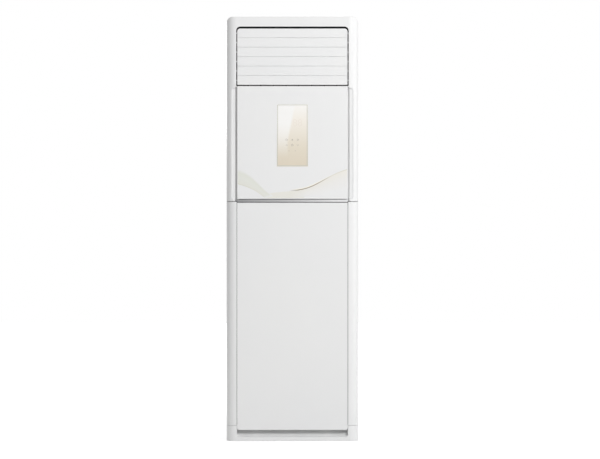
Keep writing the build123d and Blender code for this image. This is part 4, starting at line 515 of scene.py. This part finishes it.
BAND_LOW = [(-118, 1031), (-70, 1030), (-10, 1030), (50, 1032)]
BAND_HIGH = [(-98, 1052), (-60, 1058), (-20, 1062), (40, 1064)]
VEIL_LOW = [(-232, 1090), (-190, 1080), (-150, 1062), (-117, 1031)]
VEIL_HIGH = [(-232, 1152), (-165, 1140), (-140, 1076), (-82, 1040)]
SWEEP_LOW = [(-20, 1032), (70, 1034), (150, 1050), (232, 1078)]
SWEEP_HIGH = [(-12, 1064), (96, 1062), (128, 1122), (232, 1153)]
LINE_BELOW = 2.7  # millimetres of the gold line below the sweep's edge
LINE_ABOVE = 6.4  # and of its highlight above it


def raised(edge, by):
    """A curve moved up by so many millimetres."""
    return [(x, z + by) for x, z in edge]


ribbon("ribbon_band", BAND_LOW, BAND_HIGH, band_finish, 1)
ribbon("ribbon_sweep", SWEEP_LOW, SWEEP_HIGH, sweep_finish, 2)
ribbon("ribbon_veil", VEIL_LOW, VEIL_HIGH, veil_finish, 3)
ribbon("ribbon_line", raised(SWEEP_HIGH, -LINE_BELOW), raised(SWEEP_HIGH, LINE_ABOVE), line_finish, 4)


# ---------------------------------------------------------------- display print

PRINT_PROUD = 0.05 * MM
KEY_XS = (photo_x(286.7), photo_x(292.3), photo_x(297.9))
KEY_ZS = (photo_z(140.0), photo_z(145.2))
KEY_SIZE = 4.2 * MM
STROKE = 1.0 * MM
DOT_XS = (photo_x(289.0), photo_x(295.2))
DOT_Z = photo_z(151.0)
DOT_R = 1.4 * MM
DOT_HOLE = 0.1  # a pinhole in its middle, as a share of its radius
FIGURE_XS = (photo_x(295.0), photo_x(300.0))
FIGURE_Z = photo_z(123.0)
FIGURE_SIZE = (13.0 * MM, 26.0 * MM)


def ink(name, colour):
    """Print under the clear window."""
    made = Finish(name, colour, 0.2, coat=0.6, coat_roughness=0.03)
    made.tint(made.remap(made.noise(700.0), 0.3, 0.7, 0.0, 0.2), tuple(c * 0.85 for c in colour))
    return made


grey_ink = ink("ink_grey", (0.42, 0.37, 0.32))
rim_ink = ink("ink_rim", (0.62, 0.60, 0.53))
rose_ink = ink("ink_rose", (0.87, 0.79, 0.71))


def polar(centre, radius, degrees):
    """A point at a distance and an angle from a centre."""
    angle = math.radians(degrees)
    return (centre[0] + radius * math.cos(angle), centre[1] + radius * math.sin(angle))


def arc_band(centre, radius, width, start, turn, steps=28):
    """A band along an arc, which closes on itself after a full turn."""
    closed = turn == 360
    count = steps if closed else steps + 1
    outer, inner = ([polar(centre, r, start + turn * n / steps) for n in range(count)]
                    for r in (radius + width / 2, radius - width / 2))
    return outer, inner, closed


def stroke(start, end, width):
    """A straight band between two points."""
    along = Vector((end[0] - start[0], end[1] - start[1])).normalized()
    side = Vector((-along.y, along.x)) * (width / 2)
    low, high = ([(p[0] + s * side.x, p[1] + s * side.y) for p in (start, end)] for s in (-1, 1))
    return low, high, False


def symbol(name, bands, finish):
    """One printed sign, from bands of two edges each."""
    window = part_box("display_window")[0].y
    vertices = []
    faces = []
    for low, high, closed in bands:
        start = len(vertices)
        vertices += [(x, window - PRINT_PROUD, z) for x, z in (*low, *high)]
        faces += [tuple(start + v for v in face) for face in grid_faces(2, len(low), closed)]
    piece(name, *film(vertices, faces, window), finish, "display_gold")


def power_sign(at):
    return [arc_band(at, KEY_SIZE, STROKE, 120, 300), stroke(at, (at[0], at[1] + 1.3 * KEY_SIZE), STROKE)]


def mode_sign(at):
    return [stroke(polar(at, -KEY_SIZE, a), polar(at, KEY_SIZE, a), STROKE) for a in (30, 90, 150)]


def fan_sign(at):
    half = KEY_SIZE / 2
    return [arc_band(polar(at, half, a), half, STROKE, a - 60, 220) for a in (0, 120, 240)]


def chevron(at, way):
    """An arrow's head that points up for 1 and down for -1."""
    tip = (at[0], at[1] + way * KEY_SIZE / 2)
    left, right = ((at[0] + side * KEY_SIZE, at[1] - way * KEY_SIZE / 2) for side in (-1, 1))
    return [stroke(left, tip, STROKE), stroke(tip, right, STROKE)]


def up_sign(at):
    return chevron(at, 1)


def down_sign(at):
    return chevron(at, -1)


def clock_sign(at):
    return [arc_band(at, KEY_SIZE, STROKE, 0, 360), stroke(at, (at[0], at[1] + 0.7 * KEY_SIZE), STROKE),
            stroke(at, (at[0] + 0.6 * KEY_SIZE, at[1]), STROKE)]


SIGNS = {
    "key_power": (power_sign, KEY_XS[0], KEY_ZS[0]),
    "key_mode": (mode_sign, KEY_XS[1], KEY_ZS[0]),
    "key_fan": (fan_sign, KEY_XS[2], KEY_ZS[0]),
    "key_up": (up_sign, KEY_XS[0], KEY_ZS[1]),
    "key_clock": (clock_sign, KEY_XS[1], KEY_ZS[1]),
    "key_down": (down_sign, KEY_XS[2], KEY_ZS[1]),
}
for name, (draw, x, z) in SIGNS.items():
    symbol(name, draw((x, z)), grey_ink)
for n, x in enumerate(DOT_XS):
    dot = arc_band((x, DOT_Z), (1 + DOT_HOLE) / 2 * DOT_R, (1 - DOT_HOLE) * DOT_R, 0, 360)
    symbol(f"indicator_{n + 1}", [dot], grey_ink)


def seven_bars(at, size):
    """The seven bars of a figure that is not lit."""
    wide, tall = size
    x = (at[0] - wide / 2, at[0] + wide / 2)
    z = (at[1] - tall / 2, at[1], at[1] + tall / 2)
    gap = 0.12 * wide
    width = 0.13 * wide
    level = [stroke((x[0] + gap, level_z), (x[1] - gap, level_z), width) for level_z in z]
    upright = [stroke((side, z[n] + gap), (side, z[n + 1] - gap), width) for side in x for n in (0, 1)]
    return level + upright


for n, x in enumerate(FIGURE_XS):
    symbol(f"figure_{n + 1}", seven_bars((x, FIGURE_Z), FIGURE_SIZE), rose_ink)

window_low, window_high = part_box("display_window")
RIM_INSET = 2.0 * MM
RIM_W = 2.6 * MM


def window_ring(inset):
    """The corners of the window, inset."""
    x = (window_low.x + inset, window_high.x - inset)
    z = (window_low.z + inset, window_high.z - inset)
    return [(x[0], z[0]), (x[1], z[0]), (x[1], z[1]), (x[0], z[1])]


symbol("window_rim", [(window_ring(RIM_INSET), window_ring(RIM_INSET + RIM_W), True)], rim_ink)


# ---------------------------------------------------------------- screws

SCREW_RINGS = 9
SCREW_SPOKES = 32
SCREW_SUNK = 0.3 * MM  # the rim's foot, under the face
HEAD_HEIGHT = 0.55  # this and the next three are shares of the head's radius
CROSS_HALF_WIDTH = 0.14
CROSS_REACH = 0.62
CROSS_DEPTH = 0.3
DOME_POWER = 2.6
SCREW_TURN = 0.7  # radians from one screw to the next
screw_meshes = {}


def screw_mesh(radius, finish):
    """A pan head with a cross recess, on a face at z = 0."""
    key = (radius, finish.material.name)
    if key in screw_meshes:
        return screw_meshes[key]
    vertices = []
    for ring in range(1, SCREW_RINGS + 1):
        r = radius * ring / SCREW_RINGS
        for spoke in range(SCREW_SPOKES):
            angle = 2 * math.pi * spoke / SCREW_SPOKES
            x = r * math.cos(angle)
            y = r * math.sin(angle)
            height = HEAD_HEIGHT * radius * (1 - (ring / SCREW_RINGS) ** DOME_POWER) ** 0.5
            in_cross = min(abs(x), abs(y)) < CROSS_HALF_WIDTH * radius and r < CROSS_REACH * radius
            vertices.append((x, y, height - (CROSS_DEPTH * radius if in_cross else 0.0)))
    rim = len(vertices) - SCREW_SPOKES
    vertices += [(x, y, -SCREW_SUNK) for x, y, _ in vertices[rim:]]
    centre = len(vertices)
    vertices.append((0.0, 0.0, (HEAD_HEIGHT - CROSS_DEPTH) * radius))
    faces = grid_faces(SCREW_RINGS + 1, SCREW_SPOKES, closed=True)
    faces += [(centre, n, (n + 1) % SCREW_SPOKES) for n in range(SCREW_SPOKES)]
    faces.append(tuple(range(centre - SCREW_SPOKES, centre)))
    mesh = bpy.data.meshes.new(f"screw_{len(screw_meshes)}")
    mesh.from_pydata(vertices, [], faces)
    face_outward(mesh)
    mesh.shade_smooth()
    mesh.materials.append(finish.material)
    screw_meshes[key] = mesh
    return mesh


def screws(name, points, facing, radius, finish, slot, body=CABINET):
    """Screw heads at points, facing along a direction."""
    turn = Vector((0, 0, 1)).rotation_difference(Vector(facing)).to_matrix().to_4x4()
    for n, point in enumerate(points):
        made = bpy.data.objects.new(f"{name}_{n + 1}", screw_mesh(radius, finish))
        bpy.context.scene.collection.objects.link(made)
        made.matrix_world = Matrix.Translation(point) @ turn @ Matrix.Rotation(SCREW_TURN * n, 4, "Z")
        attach(made, body)


zinc = bare_metal("screw_zinc", (0.62, 0.62, 0.6), (0.4, 0.4, 0.38), 0.3, (900.0, 900.0, 900.0))
BACK = (0, 1, 0)
FRONT = (0, -1, 0)
REAR_SCREW_INSET = 8.0 * MM
REAR_SCREW_END = 30.0 * MM
REAR_SCREWS = 7
COVER_SCREW_XS = (-240.0 * MM, -80.0 * MM, 80.0 * MM, 240.0 * MM)
BASE_SCREW_XS = (-240.0 * MM, 0.0, 240.0 * MM)
BASE_SCREW_Z = 40.0 * MM
BOX_SCREW_INSET = (12.0 * MM, 14.0 * MM)
CASE_SCREW_R = 4.2 * MM
BOX_SCREW_R = 3.4 * MM
case_screw = (BACK, CASE_SCREW_R, zinc, "union_brass")

rear_low, rear_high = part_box("rear_panel")
columns = (rear_low.x + REAR_SCREW_INSET, rear_high.x - REAR_SCREW_INSET)
run = rear_high.z - rear_low.z - 2 * REAR_SCREW_END
heights = [rear_low.z + REAR_SCREW_END + run * n / (REAR_SCREWS - 1) for n in range(REAR_SCREWS)]
screws("rear_screw", [(x, rear_high.y, z) for z in heights for x in columns], *case_screw)

cover_low, cover_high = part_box("top_cover")
cover_z = (cover_low.z + cover_high.z) / 2
screws("cover_screw", [(x, cover_high.y, cover_z) for x in COVER_SCREW_XS], *case_screw)

base_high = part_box("base")[1]
screws("base_screw", [(x, base_high.y, BASE_SCREW_Z) for x in BASE_SCREW_XS], *case_screw)

box_low, box_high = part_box("electrical_box_cover")
corner_x = (box_low.x + BOX_SCREW_INSET[0], box_high.x - BOX_SCREW_INSET[0])
corner_z = (box_low.z + BOX_SCREW_INSET[1], box_high.z - BOX_SCREW_INSET[1])
corners = [(x, box_low.y, z) for z in corner_z for x in corner_x]
screws("box_screw", corners, FRONT, BOX_SCREW_R, zinc, "union_brass")


# ---------------------------------------------------------------- lip seals beside the lower panel

SEAL_Y = (-180.0 * MM, -172.4 * MM)  # the foot on the pillar's inner face
LIP_Y = (-174.0 * MM, -173.0 * MM)  # the lip behind the panel's edge
LIP_REACH = 5.2 * MM
SEAL_THICK = 1.2 * MM
SEAL_END = 3.0 * MM  # short of the pillar at each end
SEAL_STEPS = 6
BULGE_START = 0.35  # the round foot, as shares of its thickness
BULGE = 0.65
LIP_ROOT = 0.5  # where the lip leaves the foot, as a share of that thickness
LIP_TAPER = 0.8  # where the lip thins, as a share of its reach


def lip_seal(name, pillar, side):
    """A rubber seal with a round foot and a thin lip, up the inner face of a pillar."""
    low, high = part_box(pillar)
    wall = low.x if side > 0 else high.x
    foot = (SEAL_Y[0] + LIP_Y[0]) / 2
    outline = [(0.0, SEAL_Y[0])]
    for n in range(SEAL_STEPS + 1):
        angle = math.pi * n / SEAL_STEPS
        stand = SEAL_THICK * (BULGE_START + BULGE * math.sin(angle))
        outline.append((stand, foot - (foot - SEAL_Y[0]) * math.cos(angle)))
    root = LIP_ROOT * SEAL_THICK
    thin = LIP_TAPER * LIP_REACH
    outline += [(root, LIP_Y[0]), (thin, LIP_Y[0]), (LIP_REACH, sum(LIP_Y) / 2), (thin, LIP_Y[1]),
                (root, LIP_Y[1]), (root, SEAL_Y[1]), (0.0, SEAL_Y[1])]
    vertices = [(wall - side * x, y, z) for z in (low.z + SEAL_END, high.z - SEAL_END) for x, y in outline]
    count = len(outline)
    faces = grid_faces(2, count, closed=True)
    faces += [tuple(range(count)), tuple(range(2 * count - 1, count - 1, -1))]
    made = piece(name, vertices, faces, FINISHES["rubber_black"], "rubber_black")
    face_outward(made.data)


lip_seal("right_lip_seal", "right_lower_pillar", 1)
lip_seal("left_lip_seal", "left_lower_pillar", -1)


# ---------------------------------------------------------------- stage

FLOOR_SIZE = 30.0
FLOOR_COLOUR = (0.8, 0.8, 0.8, 1.0)
WHITE = (1.0, 1.0, 1.0, 1.0)
WORLD_LIGHT = 0.40
FLOOR_LIFT = (0.55, 1.0)  # beside the object, and far from it
FLOOR_NEAR, FLOOR_FAR = 1.5, 4.5
FRONT_MIDDLE = (0, -0.1, 1.0)
BACK_MIDDLE = (0, 0.1, 1.0)


def shown_white(tree):
    """One for rays from the camera, and for reflected and transmitted ones."""
    path = tree.nodes.new("ShaderNodeLightPath").outputs
    seen = path["Is Camera Ray"]
    for name in ("Is Glossy Ray", "Is Transmission Ray"):
        either = tree.nodes.new("ShaderNodeMath")
        either.operation = "MAXIMUM"
        tree.links.new(seen, either.inputs[0])
        tree.links.new(path[name], either.inputs[1])
        seen = either.outputs[0]
    return seen


def make_world():
    world = bpy.data.worlds.new("studio")
    world.use_nodes = True
    tree = world.node_tree
    plain = tree.nodes["Background"]
    plain.inputs["Color"].default_value = WHITE
    plain.inputs["Strength"].default_value = WORLD_LIGHT
    white = tree.nodes.new("ShaderNodeBackground")
    white.inputs["Strength"].default_value = 1.0
    white.inputs["Color"].default_value = WHITE
    mixed = tree.nodes.new("ShaderNodeMixShader")
    tree.links.new(shown_white(tree), mixed.inputs[0])
    tree.links.new(plain.outputs[0], mixed.inputs[1])
    tree.links.new(white.outputs[0], mixed.inputs[2])
    tree.links.new(mixed.outputs[0], tree.nodes["World Output"].inputs["Surface"])
    bpy.context.scene.world = world


def make_floor():
    """A pale floor that shows white and keeps the object's shadow."""
    mesh = bpy.data.meshes.new("floor")
    s = FLOOR_SIZE / 2
    mesh.from_pydata([(-s, -s, 0), (s, -s, 0), (s, s, 0), (-s, s, 0)], [], [(0, 1, 2, 3)])
    floor = bpy.data.objects.new("floor", mesh)
    bpy.context.scene.collection.objects.link(floor)
    pale = bpy.data.materials.new("floor_pale")
    pale.use_nodes = True
    tree = pale.node_tree
    tree.nodes.remove(tree.nodes["Principled BSDF"])
    matt = tree.nodes.new("ShaderNodeBsdfDiffuse")
    matt.inputs["Color"].default_value = FLOOR_COLOUR
    glow = tree.nodes.new("ShaderNodeEmission")
    away = tree.nodes.new("ShaderNodeVectorMath")
    away.operation = "LENGTH"
    tree.links.new(tree.nodes.new("ShaderNodeTexCoord").outputs["Object"], away.inputs[0])
    level = tree.nodes.new("ShaderNodeMapRange")
    for number, value in enumerate((FLOOR_NEAR, FLOOR_FAR, *FLOOR_LIFT), 1):
        level.inputs[number].default_value = value
    tree.links.new(away.outputs["Value"], level.inputs[0])
    lift = tree.nodes.new("ShaderNodeMath")
    lift.operation = "MULTIPLY"
    tree.links.new(shown_white(tree), lift.inputs[0])
    tree.links.new(level.outputs[0], lift.inputs[1])
    tree.links.new(lift.outputs[0], glow.inputs["Strength"])
    both = tree.nodes.new("ShaderNodeAddShader")
    tree.links.new(matt.outputs[0], both.inputs[0])
    tree.links.new(glow.outputs[0], both.inputs[1])
    tree.links.new(both.outputs[0], tree.nodes["Material Output"].inputs["Surface"])
    mesh.materials.append(pale)


def make_lamp(name, place, target, width, height, power):
    """A soft rectangular lamp that faces a target."""
    data = bpy.data.lights.new(name, "AREA")
    data.shape = "RECTANGLE"
    data.size = width
    data.size_y = height
    data.energy = power
    lamp = bpy.data.objects.new(name, data)
    lamp.location = place
    lamp.rotation_euler = (Vector(target) - Vector(place)).to_track_quat("-Z", "Y").to_euler()
    bpy.context.scene.collection.objects.link(lamp)


def make_camera():
    """Straight on, with the photograph's frame at the case's front."""
    data = bpy.data.cameras.new("camera")
    data.sensor_width = SENSOR
    data.lens = CAMERA_DISTANCE * SENSOR / (IMAGE_WIDTH * PIXEL)
    data.clip_end = 100.0
    camera = bpy.data.objects.new("camera", data)
    front = CAD_BOX[0][1]
    away = front + FRAME_DEPTH - CAMERA_DISTANCE
    camera.location = (photo_x(IMAGE_WIDTH / 2), away, photo_z(IMAGE_HEIGHT / 2))
    camera.rotation_euler = (math.radians(90), 0, 0)
    bpy.context.scene.collection.objects.link(camera)
    bpy.context.scene.camera = camera


make_world()
make_floor()
make_lamp("key", (2.3, -4.2, 3.4), FRONT_MIDDLE, 2.0, 1.8, 139.5)
make_lamp("side", (4.3, -1.0, 1.7), FRONT_MIDDLE, 2.8, 3.0, 20.0)
make_lamp("back", (-1.4, 4.0, 2.4), BACK_MIDDLE, 2.0, 2.0, 64.0)
make_camera()
bpy.context.scene.view_settings.view_transform = "Standard"
